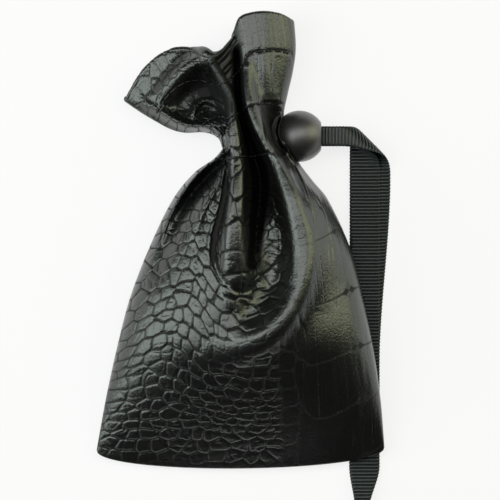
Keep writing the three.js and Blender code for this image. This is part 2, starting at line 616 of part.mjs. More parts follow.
for (const each of TAGS) {
  add(`tag_end_${each.name}`, skin(...ribbonFaces(tag(each)), steps(0, 1, 8), steps(0, 1, 2)), grosgrain);
}

export default part;
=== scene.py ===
"""A drawstring dice bag of crocodile-embossed leather, lying on its back, drawn shut by a ribbon.

X runs across the bag, Y from its base seam to its mouth, Z up from the table. Lengths are in
millimetres, and turn into metres where a mesh is made.
"""

import math

import bmesh
import bpy
import mathutils
import numpy as np
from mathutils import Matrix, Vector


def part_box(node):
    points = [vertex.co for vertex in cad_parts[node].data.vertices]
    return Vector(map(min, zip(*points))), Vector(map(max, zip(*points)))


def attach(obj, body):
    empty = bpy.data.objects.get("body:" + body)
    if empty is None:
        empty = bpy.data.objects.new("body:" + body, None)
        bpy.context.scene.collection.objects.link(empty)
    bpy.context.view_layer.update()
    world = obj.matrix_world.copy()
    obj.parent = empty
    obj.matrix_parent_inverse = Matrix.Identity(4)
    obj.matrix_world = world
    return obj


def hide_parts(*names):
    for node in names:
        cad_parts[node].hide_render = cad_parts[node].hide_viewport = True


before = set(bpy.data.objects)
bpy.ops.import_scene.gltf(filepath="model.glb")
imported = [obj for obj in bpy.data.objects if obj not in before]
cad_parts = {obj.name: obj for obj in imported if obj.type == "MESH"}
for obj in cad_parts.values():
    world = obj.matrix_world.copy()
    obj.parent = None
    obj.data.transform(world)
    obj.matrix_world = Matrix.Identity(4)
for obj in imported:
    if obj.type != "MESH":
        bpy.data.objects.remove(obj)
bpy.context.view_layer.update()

# Camera
# The picture is taken from straight above with a long lens. The bag's mouth is at its top edge, and
# the strands run out of its bottom edge.
MM = 0.001
SENSOR_WIDTH = 36
VIEW_HEIGHT = 900
VIEW_WIDTH = 157
VIEW_CENTRE = (3.0, -3.0)

camera = bpy.data.objects.new("camera", bpy.data.cameras.new("camera"))
camera.data.sensor_width = SENSOR_WIDTH
camera.data.lens = SENSOR_WIDTH * VIEW_HEIGHT / VIEW_WIDTH
camera.location = (VIEW_CENTRE[0] * MM, VIEW_CENTRE[1] * MM, VIEW_HEIGHT * MM)
bpy.context.scene.collection.objects.link(camera)
bpy.context.scene.camera = camera


# Free strands of the drawstring
# One length of black grosgrain, woven polyester with a rib across it every millimetre. Both its
# ends come out of the neck through the bead, fold over a slant and run down to the knot.
RIBBON_WIDTH = 9.5
RIBBON_CUPPED_WIDTH = 6.2
RIBBON_THICKNESS = 0.4
RIBBON_CLEARANCE = 0.35
RIB_PITCH = 1.05
RIB_HEIGHT = 0.32
RIB_GAP = 0.3
SCALLOP = 0.14
EDGE_SHARPNESS = 12
EDGE_THICKNESS = 0.35
RIBBON_COLUMNS = 14
ROWS_PER_RIB = 8
BEAD_BORE = 7.4
TABLE_GAP = 0.05
GAP = 0.3
TUCKED_SHARE = 0.45

bead_low, bead_high = (np.array(corner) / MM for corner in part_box("toggle_bead"))
bead_radius = (bead_high[2] - bead_low[2]) / 2
bead = (bead_low + bead_high) / 2
bore_mouth = math.sqrt(bead_radius**2 - (BEAD_BORE / 2) ** 2)
knot_low, knot_high = (np.array(corner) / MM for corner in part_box("end_knot"))
knot = (knot_low + knot_high) / 2
knot_size = knot_high - knot_low
tucked_width = TUCKED_SHARE * knot_size[0]
strand_pitch = RIBBON_THICKNESS + RIBBON_CLEARANCE


def clamp(value, low=0.0, high=1.0):
    return np.clip(value, low, high)


def ease(value):
    return clamp(value) ** 2 * (3 - 2 * clamp(value))


def fade(value, start, over):
    """0 at the start, easing to 1 over a run, which is negative where the value goes down."""
    return ease((value - start) / over)


def mix(a, b, t):
    return a + (b - a) * t


def unit(vectors):
    return vectors / np.maximum(np.linalg.norm(vectors, axis=-1, keepdims=True), 1e-12)


def as_points(x, y, z):
    return np.stack(np.broadcast_arrays(x, y, z), -1)


def linear(hex_colour):
    """An sRGB hex colour as the linear RGBA that a socket takes."""
    parts = [int(hex_colour[i : i + 2], 16) / 255 for i in (1, 3, 5)]
    return [c / 12.92 if c <= 0.04045 else ((c + 0.055) / 1.055) ** 2.4 for c in parts] + [1.0]


def add_node(tree, kind, settings=None, **links):
    """Adds a node, sets its properties, colour stops or free sockets, and joins sockets to outputs."""
    node = tree.nodes.new(kind)
    for key, value in (settings or {}).items():
        if key == "stops":
            for stop, (position, colour) in zip(node.color_ramp.elements, value):
                stop.position = position
                stop.color = linear(colour)
        elif isinstance(key, str) and hasattr(node, key):
            setattr(node, key, value)
        else:
            node.inputs[key].default_value = value
    for socket, source in links.items():
        name = socket.replace("_", " ")
        target = node.inputs[int(name[5:])] if name.startswith("input") else node.inputs[name]
        tree.links.new(source, target)
    return node


def new_material(name):
    """An empty material, its node tree and coordinates in metres."""
    material = bpy.data.materials.new(name)
    material.use_nodes = True
    tree = material.node_tree
    tree.nodes.clear()
    return material, tree, tree.nodes.new("ShaderNodeTexCoord").outputs["Object"]


def per_metre(size):
    """Scale of a pattern whose swells or cells are a size in millimetres across."""
    return 1 / (size * MM)


def patterned(name, pattern, settings, stops, relief, finish, shade=None, stretch=None):
    """A material whose pattern gives its fine relief, and its colour unless an attribute given as shade
    paints light and shade into it instead.

    Relief is the strength of the bump and its height in millimetres.
    """
    material, tree, place = new_material(name)
    if stretch:
        place = add_node(tree, "ShaderNodeMapping", {"Scale": stretch}, Vector=place).outputs["Vector"]
    texture = add_node(tree, pattern, settings, Vector=place).outputs["Fac"]
    shading = texture
    if shade:
        shading = add_node(tree, "ShaderNodeAttribute", {"attribute_name": shade}).outputs["Fac"]
    tint = add_node(tree, "ShaderNodeValToRGB", {"stops": stops}, Fac=shading)
    strength, height = relief
    bump = add_node(tree, "ShaderNodeBump", {"Strength": strength, "Distance": height * MM}, Height=texture)
    shader = add_node(tree, "ShaderNodeBsdfPrincipled", finish,
                      Base_Color=tint.outputs["Color"], Normal=bump.outputs["Normal"])
    add_node(tree, "ShaderNodeOutputMaterial", Surface=shader.outputs["BSDF"])
    return material


def make_piece(name, points, faces, *materials, **attributes):
    """A smooth mesh from points in millimetres, with its faces turned outward."""
    mesh = bpy.data.meshes.new(name)
    mesh.from_pydata((np.asarray(points).reshape(-1, 3) * MM).tolist(), [], faces)
    for attribute, values in attributes.items():
        layer = mesh.attributes.new(attribute, "FLOAT", "POINT")
        layer.data.foreach_set("value", np.asarray(values, np.float32).ravel())
    shape = bmesh.new()
    shape.from_mesh(mesh)
    bmesh.ops.recalc_face_normals(shape, faces=shape.faces)
    shape.to_mesh(mesh)
    shape.free()
    mesh.shade_smooth()
    for material in materials:
        mesh.materials.append(material)
    made = bpy.data.objects.new(name, mesh)
    bpy.context.scene.collection.objects.link(made)
    return made


def stand_for(piece, node, body="bag"):
    """Lets a piece ride on its body and stand for a CAD node, whose own part is hidden."""
    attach(piece, body)
    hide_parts(node)
    return piece


def tube_faces(rows, around, closed_ends=True):
    """Faces round a run of closed sections, and over its two ends."""
    row, place = np.meshgrid(np.arange(rows - 1), np.arange(around), indexing="ij")
    here = row * around + place
    beside = row * around + (place + 1) % around
    faces = np.stack([here, beside, beside + around, here + around], -1).reshape(-1, 4).tolist()
    if closed_ends:
        faces.append(list(range(around))[::-1])
        faces.append(list(range((rows - 1) * around, rows * around)))
    return faces


def normals_of(grid):
    """Unit normals of a grid of points [row, column], upward where rows and columns turn right-handed."""
    return unit(np.cross(np.gradient(grid, axis=1), np.gradient(grid, axis=0)))


def ribbon_strip(surface, runs):
    """Sections of a ribbon whose middle is surface(run, t), with its ribs and its scalloped edges, and the
    rib profile that paints shade into the gaps and light onto the tops.
    """
    rib = clamp((np.abs(np.cos(math.pi * runs / RIB_PITCH))[:, None] - RIB_GAP) / (1 - RIB_GAP))
    t = np.linspace(0, 1, RIBBON_COLUMNS)[None, :]
    spread = 1 + (rib - 0.5) * 2 * SCALLOP / RIBBON_WIDTH
    middle = surface(runs[:, None], 0.5 + (t - 0.5) * spread)
    rounded = clamp(1 - (2 * np.abs(t - 0.5)) ** EDGE_SHARPNESS, EDGE_THICKNESS)
    half = (RIBBON_THICKNESS / 2 + RIB_HEIGHT * (np.sqrt(1 - (1 - rib) ** 2) - 0.5)) * rounded
    reach = normals_of(middle) * half[..., None]
    sections = np.concatenate([middle + reach, (middle - reach)[:, ::-1]], axis=1)
    # The rib profile goes to the material too, which paints shade in the gaps and light on the tops.
    return sections, np.repeat(rib, 2 * RIBBON_COLUMNS, axis=1)


def ribbon_piece(name, node, surface, length, rows):
    sections, ribs = ribbon_strip(surface, np.linspace(0, length, rows))
    piece = make_piece(name, sections, tube_faces(*sections.shape[:2]), ribbon, rib=ribs)
    return stand_for(piece, node)


STRANDS = {"outer": {"side": 1, "fold_x": 33.12}, "inner": {"side": -1, "fold_x": 31.5}}
TAIL_X = 38.88
DRIFT_FROM = 19.88
DRIFT_OVER = 60
WIDEN_FROM = 6
WIDEN_OVER = 12
NARROW_OVER = 14
KNOT_ENTRY = 0.42
FOLD_PART = 0.28
POINTS_OVER_FOLD = 22
POINTS_DOWN_TAIL = 18


def on_table(side):
    """Height of the middle of a strand on the table: the inner one lies on the outer one."""
    return TABLE_GAP + RIBBON_THICKNESS / 2 + RIB_HEIGHT / 2 + (strand_pitch if side < 0 else 0)


def strand(side, fold_x):
    """A strand's surface by run from the bead and t across it, and its whole length."""
    top = bead[2] + side * strand_pitch / 2
    radius = (top - on_table(side)) / 2
    straight = fold_x - (bead[0] + bore_mouth + GAP)
    turn_run = math.pi * radius / math.sqrt(2)
    knot_top = knot[1] + KNOT_ENTRY * knot_size[1]
    length = straight + turn_run + bead[1] - knot_top

    def surface(run, t):
        wide = mix(RIBBON_CUPPED_WIDTH, RIBBON_WIDTH, fade(run, WIDEN_FROM, WIDEN_OVER))
        width = mix(wide, tucked_width, ease(1 - (length - run) / NARROW_OVER))
        x, y = run - straight, (t - 0.5) * width
        slant, turn = (x - y) / math.sqrt(2), (x + y) / math.sqrt(2)
        angle = clamp(turn / radius, 0, math.pi)
        past = np.maximum(turn - math.pi * radius, 0)
        folded = np.where(turn <= 0, turn, radius * np.sin(angle) - past)
        px = fold_x + (slant + folded) / math.sqrt(2)
        py = bead[1] + (folded - slant) / math.sqrt(2)
        pz = top - radius * (1 - np.cos(angle))
        px = px + fade(py, DRIFT_FROM, -DRIFT_OVER) * (TAIL_X - fold_x - turn_run)
        near_knot = ease(1 - (py - knot_top) / NARROW_OVER)
        return as_points(px + near_knot * (knot[0] - TAIL_X), py, pz + near_knot * knot[2] / 2)

    return surface, length


# Polyester grosgrain: matt black yarn with a cool, slightly green sheen. Its colour is painted with light and
# shade by the rib profile: near black in the gaps between the ribs and a lighter teal grey along their tops.
# Its yarn, 0.2 mm thick, is drawn twice as coarse so that it shows.
YARN_DRAWN = 0.385
ribbon = patterned(
    "polyester_grosgrain", "ShaderNodeTexNoise",
    {"Scale": per_metre(YARN_DRAWN), "Detail": 2.0, "Roughness": 0.6},
    stops=[(0.35, "#020303"), (0.85, "#1d2a29")], shade="rib", relief=(0.35, 0.06),
    finish={"Roughness": 0.4, "Sheen Weight": 0.06, "Sheen Roughness": 0.4, "Sheen Tint": linear("#7d918c")},
)
for which, course in STRANDS.items():
    surface, length = strand(**course)
    piece = ribbon_piece(f"ribbon_strand_{which}", f"drawstring_tail_{which}", surface, length,
                         int(length / RIB_PITCH * ROWS_PER_RIB))
    over_fold = np.linspace(0, FOLD_PART, POINTS_OVER_FOLD)
    route = np.append(over_fold, np.linspace(FOLD_PART, 1, POINTS_DOWN_TAIL)[1:]) * length
    [tuple(point) for point in (surface(route, 0.5) * MM).tolist()]


# Knot and cut ends
# Both strands are tied in one overhand knot, so that the bead can't run off, and are cut on the
# slant a little below it.
KNOT_CORE = (0.8, 0.94, 0.74)
WRAPS = (
    {"tilt": 0.55, "lean": 0.35, "start": -0.2, "end": 1.15, "level": 1.0},
    {"tilt": -0.75, "lean": -0.3, "start": 0.35, "end": 1.45, "level": 1.06},
    {"tilt": 0.1, "lean": 0.1, "start": 0.05, "end": 1.3, "level": 1.12},
)
WRAP_WIDTH = 5.4
WRAP_COLUMNS = 12
WRAP_EDGE_SHARPNESS = 8
WRAP_EDGE_THICKNESS = 0.2
WRAP_SKIN = 0.05
TUCK_OVER = 0.7
TUCKED_WIDTH = 0.55
TUCKED_LEVEL = 0.82
CORE_ROWS = 28
CORE_AROUND = 40
CORE_POLE = 0.04
CORE_RIPPLE = 0.025
CORE_RIPPLES = (9, 3)
CORE_SHARE = 0.97
# Painted shade: the core, packed between the wraps, takes the near black of the rib gaps.
CORE_PAINTED_SHADE = 0.3
TAG_LENGTH = 14
TAG_CUT = 3
TAGS = {"inner": {"side": -1, "turn": 0.16}, "outer": {"side": 1, "turn": -0.12}}


def knot_wrap(tilt, lean, start, end, level):
    """Sections of a band of ribbon drawn round the knot, its two ends tucked under the others."""
    start, end = start * 2 * math.pi, end * 2 * math.pi
    size = knot_size / 2 * KNOT_CORE * level
    turn = np.linspace(start, end, int((end - start) * size[0] / RIB_PITCH * ROWS_PER_RIB))[:, None]
    t = np.linspace(-1, 1, WRAP_COLUMNS)[None, :]
    drawn = ease(np.minimum(turn - start, end - turn) / TUCK_OVER)
    offset = t * WRAP_WIDTH / 2 / size[1] * mix(TUCKED_WIDTH, 1, drawn)
    ring = as_points(np.cos(turn) * np.cos(offset), np.sin(offset), np.sin(turn) * np.cos(offset))
    c, s = math.cos(tilt), math.sin(tilt)
    ring = ring @ np.array([[c, s, 0], [-s, c, 0], [0, 0, 1]])
    c, s = math.cos(lean), math.sin(lean)
    ring = ring @ np.array([[1, 0, 0], [0, c, s], [0, -s, c]])
    # The rib profile also paints the wrap's colour: shade in the gaps, light on the tops.
    rib = np.abs(np.cos(turn * size[0] / RIB_PITCH * math.pi))
    edge = clamp(1 - np.abs(t) ** WRAP_EDGE_SHARPNESS, WRAP_EDGE_THICKNESS)
    rise = (RIBBON_THICKNESS + RIB_HEIGHT * np.sqrt(rib)) * edge
    lift = mix(TUCKED_LEVEL, 1.0, drawn)[..., None]
    outer = ring * size * lift + ring * rise[..., None]
    inner = ring * size * (lift - WRAP_SKIN)
    return np.concatenate([outer, inner[:, ::-1]], axis=1) + knot, np.repeat(rib, 2 * WRAP_COLUMNS, axis=1)


def knot_core():
    """Sections of the ribbon packed inside the knot, painted with the near black of the rib gaps as shade."""
    polar = np.linspace(CORE_POLE, math.pi - CORE_POLE, CORE_ROWS)[:, None]
    turn = np.linspace(0, 2 * math.pi, CORE_AROUND, endpoint=False)[None, :]
    ripple = 1 + CORE_RIPPLE * np.cos(CORE_RIPPLES[0] * polar + CORE_RIPPLES[1] * turn)
    size = knot_size / 2 * KNOT_CORE * CORE_SHARE
    ball = as_points(np.sin(polar) * np.cos(turn), np.cos(polar), np.sin(polar) * np.sin(turn))
    return ball * size * ripple[..., None] + knot, np.full(ripple.shape, CORE_PAINTED_SHADE)


def tag(side, turn):
    """A tag's surface by run from the knot and t across it."""
    foot = knot[1] - KNOT_ENTRY * knot_size[1]

    def surface(run, t):
        share = run / TAG_LENGTH
        length = share * (TAG_LENGTH - TAG_CUT * (t if side < 0 else 1 - t))
        width = mix(tucked_width, RIBBON_WIDTH, ease(2 * length / TAG_LENGTH))
        x, y = (0.5 - t) * width, -length
        px = knot[0] + x * math.cos(turn) - y * math.sin(turn)
        py = foot + x * math.sin(turn) + y * math.cos(turn)
        pz = on_table(side) + knot[2] / 2 * ease(1 - 2 * (foot - py) / TAG_LENGTH)
        return as_points(px, py, pz)

    return surface


def joined(tubes):
    """Points and faces of several tubes as one mesh."""
    points, faces, first = [], [], 0
    for tube in tubes:
        faces += [[corner + first for corner in face] for face in tube_faces(*tube.shape[:2])]
        points.append(tube.reshape(-1, 3))
        first += len(points[-1])
    return np.concatenate(points), faces


bands = [knot_core()] + [knot_wrap(**wrap) for wrap in WRAPS]
knot_piece = make_piece("overhand_knot", *joined([sections for sections, ribs in bands]), ribbon,
                        rib=np.concatenate([ribs.ravel() for sections, ribs in bands]))
stand_for(knot_piece, "end_knot")
tag_pieces = [
    ribbon_piece(f"ribbon_tag_{which}", f"tag_end_{which}", tag(**cut), TAG_LENGTH,
                 int(TAG_LENGTH / RIB_PITCH * ROWS_PER_RIB))
    for which, cut in TAGS.items()
]


# Toggle bead
# A turned wooden ball, stained and lacquered satin black, bored through for both strands and
# slid up against the neck.
BORE_ROUNDING = 0.6
BALL_STEPS = 60
LIP_STEPS = 8
BORE_STEPS = 10
BEAD_AROUND = 96


def bead_sections():
    """Sections of the bead round its bore, from one mouth of the bore to the other and back inside."""
    rim = BEAD_BORE / 2 + BORE_ROUNDING
    start = math.asin(rim / bead_radius)
    turn = np.linspace(start, math.pi - start, BALL_STEPS)
    ball = np.stack([-bead_radius * np.cos(turn), bead_radius * np.sin(turn)], -1)
    shoulder = bead_radius * math.cos(start)
    quarter = np.linspace(0, math.pi / 2, LIP_STEPS)[1:]
    lip = np.stack([shoulder - BORE_ROUNDING + BORE_ROUNDING * np.cos(quarter),
                    rim - BORE_ROUNDING * np.sin(quarter)], -1)
    along_bore = np.linspace(lip[-1, 0], -lip[-1, 0], BORE_STEPS + 2)[1:-1]
    bore = np.stack([along_bore, np.full(BORE_STEPS, BEAD_BORE / 2)], -1)
    profile = np.concatenate([ball, lip, bore, lip[::-1] * [-1, 1]])
    around = np.linspace(0, 2 * math.pi, BEAD_AROUND, endpoint=False)[None, :]
    x, r = profile[:, :1], profile[:, 1:]
    return as_points(x, r * np.cos(around), r * np.sin(around)) + bead


# Satin lacquer on stained wood: a soft, wide highlight, with the grain barely showing through. The
# grain runs along the bore, and is drawn coarser than it is so that it shows.
GRAIN_DRAWN = (5.56, 1.11, 1.11)
satin_lacquer = patterned(
    "satin_lacquer_on_wood", "ShaderNodeTexNoise", {"Scale": 1.0, "Detail": 3.0},
    stops=[(0.3, "#070706"), (0.75, "#11110f")], relief=(0.12, 0.05),
    stretch=[per_metre(size) for size in GRAIN_DRAWN],
    finish={"Roughness": 0.46, "Specular IOR Level": 1.0, "Coat Weight": 1.0, "Coat Roughness": 0.4},
)
ring = bead_sections()
rows, around = ring.shape[:2]
ball_faces = tube_faces(rows, around, closed_ends=False)
last = (rows - 1) * around
ball_faces += [[last + k, last + (k + 1) % around, (k + 1) % around, k] for k in range(around)]
stand_for(make_piece("lacquered_bead", ring, ball_faces, satin_lacquer), "toggle_bead", "bead")


# Leather panels
# Front and back are cut from thin calf, embossed under a hot plate with a crocodile's small flank
# scales and its big belly scales, sewn together along the sides and base, and turned right side out.
BAG_WIDTH = 90
BAG_LENGTH = 142
BAG_DEPTH = 28
LEATHER = 1.2
HEM_DEPTH = 12
HEM_THICKNESS = 2.0
CASING_ABOVE = 10.5
CASING_BELOW = 5.5
BEAD_CONTACT = 0.2
SEAM_CONTACT = 0.05
NECK_LEATHER = 62

# The drape is drawn in hundredths of the bag's width, length and depth.
NECK = 0.62
LEFT_BODY = [[-50, 3.8], [-46.8, 14.8], [-43, 25.9], [-38.5, 36.9], [-31.9, 47.9],
             [-23.5, 58.9], [-16, 64.8], [-9, 68], [-6.2, 70]]
LEFT_MOUTH = [[-6.2, 70], [-7.6, 72.3], [-12, 73.6], [-19.3, 73.6], [-24.2, 74.4],
              [-29.8, 76.3], [-35, 78.3], [-40.9, 80.9]]
RIGHT_BODY = [[50, 4.5], [48.6, 14.8], [46.1, 25.9], [42.6, 36.9], [38.2, 47.9],
              [30.3, 58.9], [24.7, 63.3], [20, 67.4], [16.2, 72.8]]
RIGHT_MOUTH = [[16.2, 72.8], [15.1, 77.5], [16.4, 82], [18.2, 87], [19.2, 92], [18.6, 98.4]]
RIM = [[0, -40.9, 80.9], [0.15, -33.5, 88], [0.3, -25, 91.9], [0.4, -17.9, 92.2],
       [0.48, -11, 90.2], [0.53, -6.8, 91.3], [0.58, -3.2, 94], [0.61, -1.6, 96], [0.64, -0.2, 98.5],
       [0.7, 3.3, 99.6], [0.8, 8.5, 100], [0.9, 13.7, 99.6], [1, 18.6, 98.4]]
CINCH = [[0, -6.2, 70], [0.3, -3.6, 70.6], [0.48, -1.6, 71], [0.6, 2.8, 71.5],
         [0.8, 9.6, 72.2], [1, 16.2, 72.8]]
BASE_DIP = 4.4
BASE_DIP_POWER = 0.45
neck_height = bead[2] / BAG_DEPTH * 100
LEFT_SEAM_HEIGHT = [[0, 10], [0.1, 17], [0.3, 21], [0.5, 25], [NECK, neck_height],
                    [0.7, 27], [0.85, 20], [1, 14]]
RIGHT_SEAM_HEIGHT = [[0, 15], [0.1, 25], [0.3, 28], [0.5, neck_height], [NECK, neck_height],
                     [1, neck_height]]
CROWN = [[0, 0], [0.03, 12], [0.08, 32], [0.14, 55], [0.2, 72], [0.25, 76], [0.33, 72], [0.42, 64],
         [0.5, 55], [0.58, 43], [NECK, 38], [0.72, 36], [0.85, 38], [1, 38]]
WING_CROWN = 0.45
WING_START = (0.66, 0.12)
WING_SIDE = (0.5, -0.1)
FOLD_START = 0.06
FOLD_SHOULDER = 2.8
FOLD_SHOULDERS = {"narrow ridge": 4.5, "deep valley": 1.5, "diagonal ridge": 2.5, "body hollow": 2.2,
                  "lip": 2.2, "left shoulder hollow": 1.8}

# Each point of a fold is across, along, rise and half width; a valley's rise is negative.
RIDGES_AND_VALLEYS = {
    "narrow ridge": [[-9.4, 88, 6, 1.6], [-6.5, 84.4, 15, 1.8], [-3.4, 80.4, 20, 1.9], [-1.9, 75.5, 23, 2.3],
                     [-0.8, 68.2, 24, 2.9], [-0.8, 60.7, 24, 3.3], [-1.6, 54.5, 22, 4], [-2, 49, 17, 4.8],
                     [-1.6, 43.5, 10, 5], [-0.6, 38, 3, 5]],
    "deep valley": [[-1.4, 91, -14, 1.4], [-0.9, 86, -21, 1.3], [-0.8, 82, -24, 1.2], [0, 77.6, -25, 1.2],
                    [2.1, 73, -25, 1.7], [4.6, 68.6, -27, 2.9], [6.6, 64.5, -28, 4], [6.8, 60, -27, 4],
                    [5.8, 54.5, -23, 3.4], [5.2, 49.5, -13, 3], [4.4, 45, -3, 3]],
    "diagonal ridge": [[0.9, 87, 4, 2.8], [2.6, 81, 13, 3.3], [4.8, 76.8, 19, 3.9], [8.2, 71.8, 23, 4.5],
                       [12.6, 66.5, 24, 4.6], [17, 60.3, 21, 5.2], [20, 54, 18, 5.6], [21.2, 47.9, 15, 5.8],
                       [19.6, 40.2, 14, 5.8], [14.8, 33.4, 13, 5.6], [8.4, 29, 11, 5.6], [0, 26.4, 7, 5.6],
                       [-9, 25.6, 2, 5.6]],
    "swell beside the diagonal ridge": [[13, 73, 0, 4], [19, 66, 4, 5], [25, 58, 7, 6], [28.5, 50, 7, 6],
                                        [27, 42, 4, 6], [24, 35, 0, 6]],
    "recess above the bead": [[10.2, 80.6, 0, 3], [10.4, 78.6, -9, 3.3], [11, 76.4, -18, 3],
                              [11.8, 74, -24, 2.6], [12.6, 71.8, -24, 2.2], [13.4, 69.8, -10, 2]],
    "shoulder pleat": [[14.6, 71.4, 3, 1.3], [18.2, 68.6, 8, 1.5], [23, 64.4, 3, 1.7]],
    "body hollow": [[10, 59, -4, 4], [11, 53, -11, 5], [11.2, 47, -18, 6], [9.6, 40.5, -19, 6.2],
                    [4, 36, -10, 5.8]],
    "left shoulder rim": [[-6.8, 69.2, 4, 1.3], [-12.8, 66, 11, 1.5], [-19, 61.4, 12, 1.7],
                          [-25, 55.4, 7, 2], [-29.4, 49, 4, 2.4], [-33, 43, 0, 2.8]],
    "left shoulder hollow": [[-4, 68.4, -12, 1.5], [-9.2, 65.2, -29, 2.2], [-15, 61.2, -30, 2.7],
                             [-20, 56.6, -20, 2.9], [-24.2, 51, -11, 3], [-27.6, 45.5, -5, 3.2],
                             [-30.5, 39, 0, 3.4]],
    "hem roll": [[-31, 79.8, 4, 3.8], [-25.8, 82.2, 12, 3.6], [-22, 85.2, 18, 3.6], [-18.2, 87.6, 20, 3.5],
                 [-14.2, 89.1, 16, 3.2], [-10.6, 90, 8, 3]],
    "flare hollow": [[-18.8, 80.2, -8, 3.4], [-15.8, 81.6, -14, 4.5], [-12, 82, -18, 5.5],
                     [-7.6, 80, -14, 4.4]],
    "lip": [[-35, 79.4, 4, 2.4], [-27, 77.6, 12, 2.4], [-19.6, 75.2, 15, 2.2], [-12.4, 74.7, 13, 2],
            [-7.5, 74.8, 6, 1.8]],
}
# Small creases that only the leather shows.
CREASES = {
    "tube pleat by the collar": [[4.4, 90, -0.6, 1.2], [5.6, 86, -1.2, 1.2], [6.9, 82, -0.8, 1.2]],
    "tube pleat between": [[8, 91, 0.4, 1.4], [9, 86.5, 1.2, 1.5], [10.2, 82, 0.6, 1.4]],
    "tube pleat by the seam": [[13, 89.5, -0.6, 1.1], [12.6, 85, -1.2, 1.2], [12.2, 81.5, -0.6, 1.1]],
    "curl in the flare": [[-16.5, 76.9, 3, 1], [-15.2, 79.6, 7, 1.1], [-11.4, 80.7, 9, 1.2],
                          [-6.6, 79.2, 5, 1.2]],
    "under the curl": [[-14.2, 77.6, -3, 1], [-11.6, 78.4, -6, 1.1], [-7.6, 77.4, -4, 1.1]],
    "collar crease": [[-8.4, 88.4, -4, 0.9], [-5.2, 90.4, -6, 0.9], [-2, 93.5, -4, 0.9]],
    "second collar crease": [[-5.6, 86.4, -4, 0.8], [-3.2, 88.2, -5, 0.8], [-1, 89.8, -3, 0.8]],
    "beside the narrow ridge": [[-4.2, 67.6, -6, 0.9], [-4.9, 61.2, -8, 0.9], [-6.6, 55.6, -7, 1],
                                [-8.6, 51, -6, 1], [-9, 46, -5, 1], [-6, 41.4, -3, 1], [0.6, 38.8, -2, 1],
                                [6, 40.8, -2, 1]],
    "outside the diagonal ridge": [[12.8, 71.8, -8, 1], [16.2, 68.4, -11, 1.1], [20.2, 62.8, -7, 1.1],
                                   [22.8, 58, -3, 1.3], [25, 53, 0, 1.4]],
    "pleat on the left shoulder": [[-6.5, 63, 3, 1], [-10.5, 59, 5, 1.2], [-14, 54.5, 4, 1.4],
                                   [-16.5, 50, 1, 1.6]],
    "neck crease": [[-6, 72.6, -5, 0.7], [-5.2, 70, -6, 0.7], [-4.6, 67.8, -3, 0.7]],
    "outer neck crease": [[-9.4, 74, -3, 0.6], [-7.2, 71.6, -5, 0.6], [-5.8, 69.6, -3, 0.6]],
    "base crease": [[-47, 3.5, -2, 0.9], [-38, 2.6, -3, 0.9], [-26, 2.3, -1, 1.2]],
}
LEFT_ROLL = 11
RIGHT_ROLL = 18
BASE_ROLL = 8
ROLL_SHARE = 0.4
ROLL_POWER = 1.5
NECK_LIFT = [[0, 0], [0.5, 0], [0.58, 3], [NECK, 5], [0.75, 5], [1, 3]]
EXIT_HALF_LENGTH = RIBBON_CUPPED_WIDTH / 2 + GAP + 1
EXIT_FADE = 4
EXIT_DEPTH = 0.25
SMALL_STEP = 1e-4
RANDOM_SEED = 11
RANDOM_CELLS = 64


def across(share):
    return share / 100 * BAG_WIDTH


def along(share):
    return (share / 100 - 0.5) * BAG_LENGTH


def deep(share):
    return share / 100 * BAG_DEPTH


def through(keys, t):
    """Smooth curves through keyed points [t, ...values], each value's curve at t."""
    at, values = np.array(keys, float)[:, 0], np.array(keys, float)[:, 1:]
    before, after = np.arange(len(at)) - 1, np.arange(len(at)) + 1
    before, after = np.maximum(before, 0), np.minimum(after, len(at) - 1)
    slope = (values[after] - values[before]) / (at[after] - at[before])[:, None]
    i = np.clip(np.searchsorted(at, t) - 1, 0, len(at) - 2)
    span = (at[i + 1] - at[i])[..., None]
    s = (np.asarray(t) - at[i])[..., None] / span
    rise = values[i + 1] - values[i]
    start = slope[i] * span - rise
    end = rise - slope[i + 1] * span
    curve = values[i] + rise * s + s * (1 - s) * ((1 - s) * start + s * end)
    return np.moveaxis(curve, -1, 0)


def run_along(points):
    """Distance run along a list of points, up to each of them."""
    return np.append(0, np.cumsum(np.linalg.norm(np.diff(points, axis=0), axis=-1)))


def by_distance(points):
    """Keys a list of points by the distance run along it, from 0 to 1."""
    points = np.array(points, float)
    runs = run_along(points[:, :2])
    return np.column_stack([runs / runs[-1], points])


def base_seam(u):
    left, right = LEFT_BODY[0], RIGHT_BODY[0]
    dip = BASE_DIP * np.maximum(4 * u * (1 - u), 0) ** BASE_DIP_POWER
    return mix(left[0], right[0], u), mix(left[1], right[1], u) - dip


def patch(low, high, left_edge, right_edge, u, t):
    """Place inside four edges: low and high are points at u, and the two sides are keyed curves."""
    left, right = through(left_edge, t), through(right_edge, t)
    place = []
    for k in (0, 1):
        bottom = mix(left_edge[0][k + 1], right_edge[0][k + 1], u)
        top = mix(left_edge[-1][k + 1], right_edge[-1][k + 1], u)
        place.append(mix(low[k], high[k], t) + mix(left[k], right[k], u) - mix(bottom, top, t))
    return np.array(place)


def outline(u, v):
    """Place in hundredths at u from the left seam to the right seam and v from base to rim."""
    u, v = np.broadcast_arrays(u, v)
    cinch = through(CINCH, u)
    body = patch(base_seam(u), cinch, by_distance(LEFT_BODY), by_distance(RIGHT_BODY), u, v / NECK)
    t = (v - NECK) / (1 - NECK)
    mouth = patch(cinch, through(RIM, u), by_distance(LEFT_MOUTH), by_distance(RIGHT_MOUTH), u, t)
    return np.where(v <= NECK, body, mouth)


def smooth_folds(paths):
    """The folds with their corners rounded, each with how squarely it is shouldered."""
    return {name: (through(by_distance(path), np.linspace(0, 1, 3 * len(path) - 2)).T,
                   FOLD_SHOULDERS.get(name, FOLD_SHOULDER)) for name, path in paths.items()}


folds_of_bag = smooth_folds(RIDGES_AND_VALLEYS)
creases_of_leather = smooth_folds(CREASES)


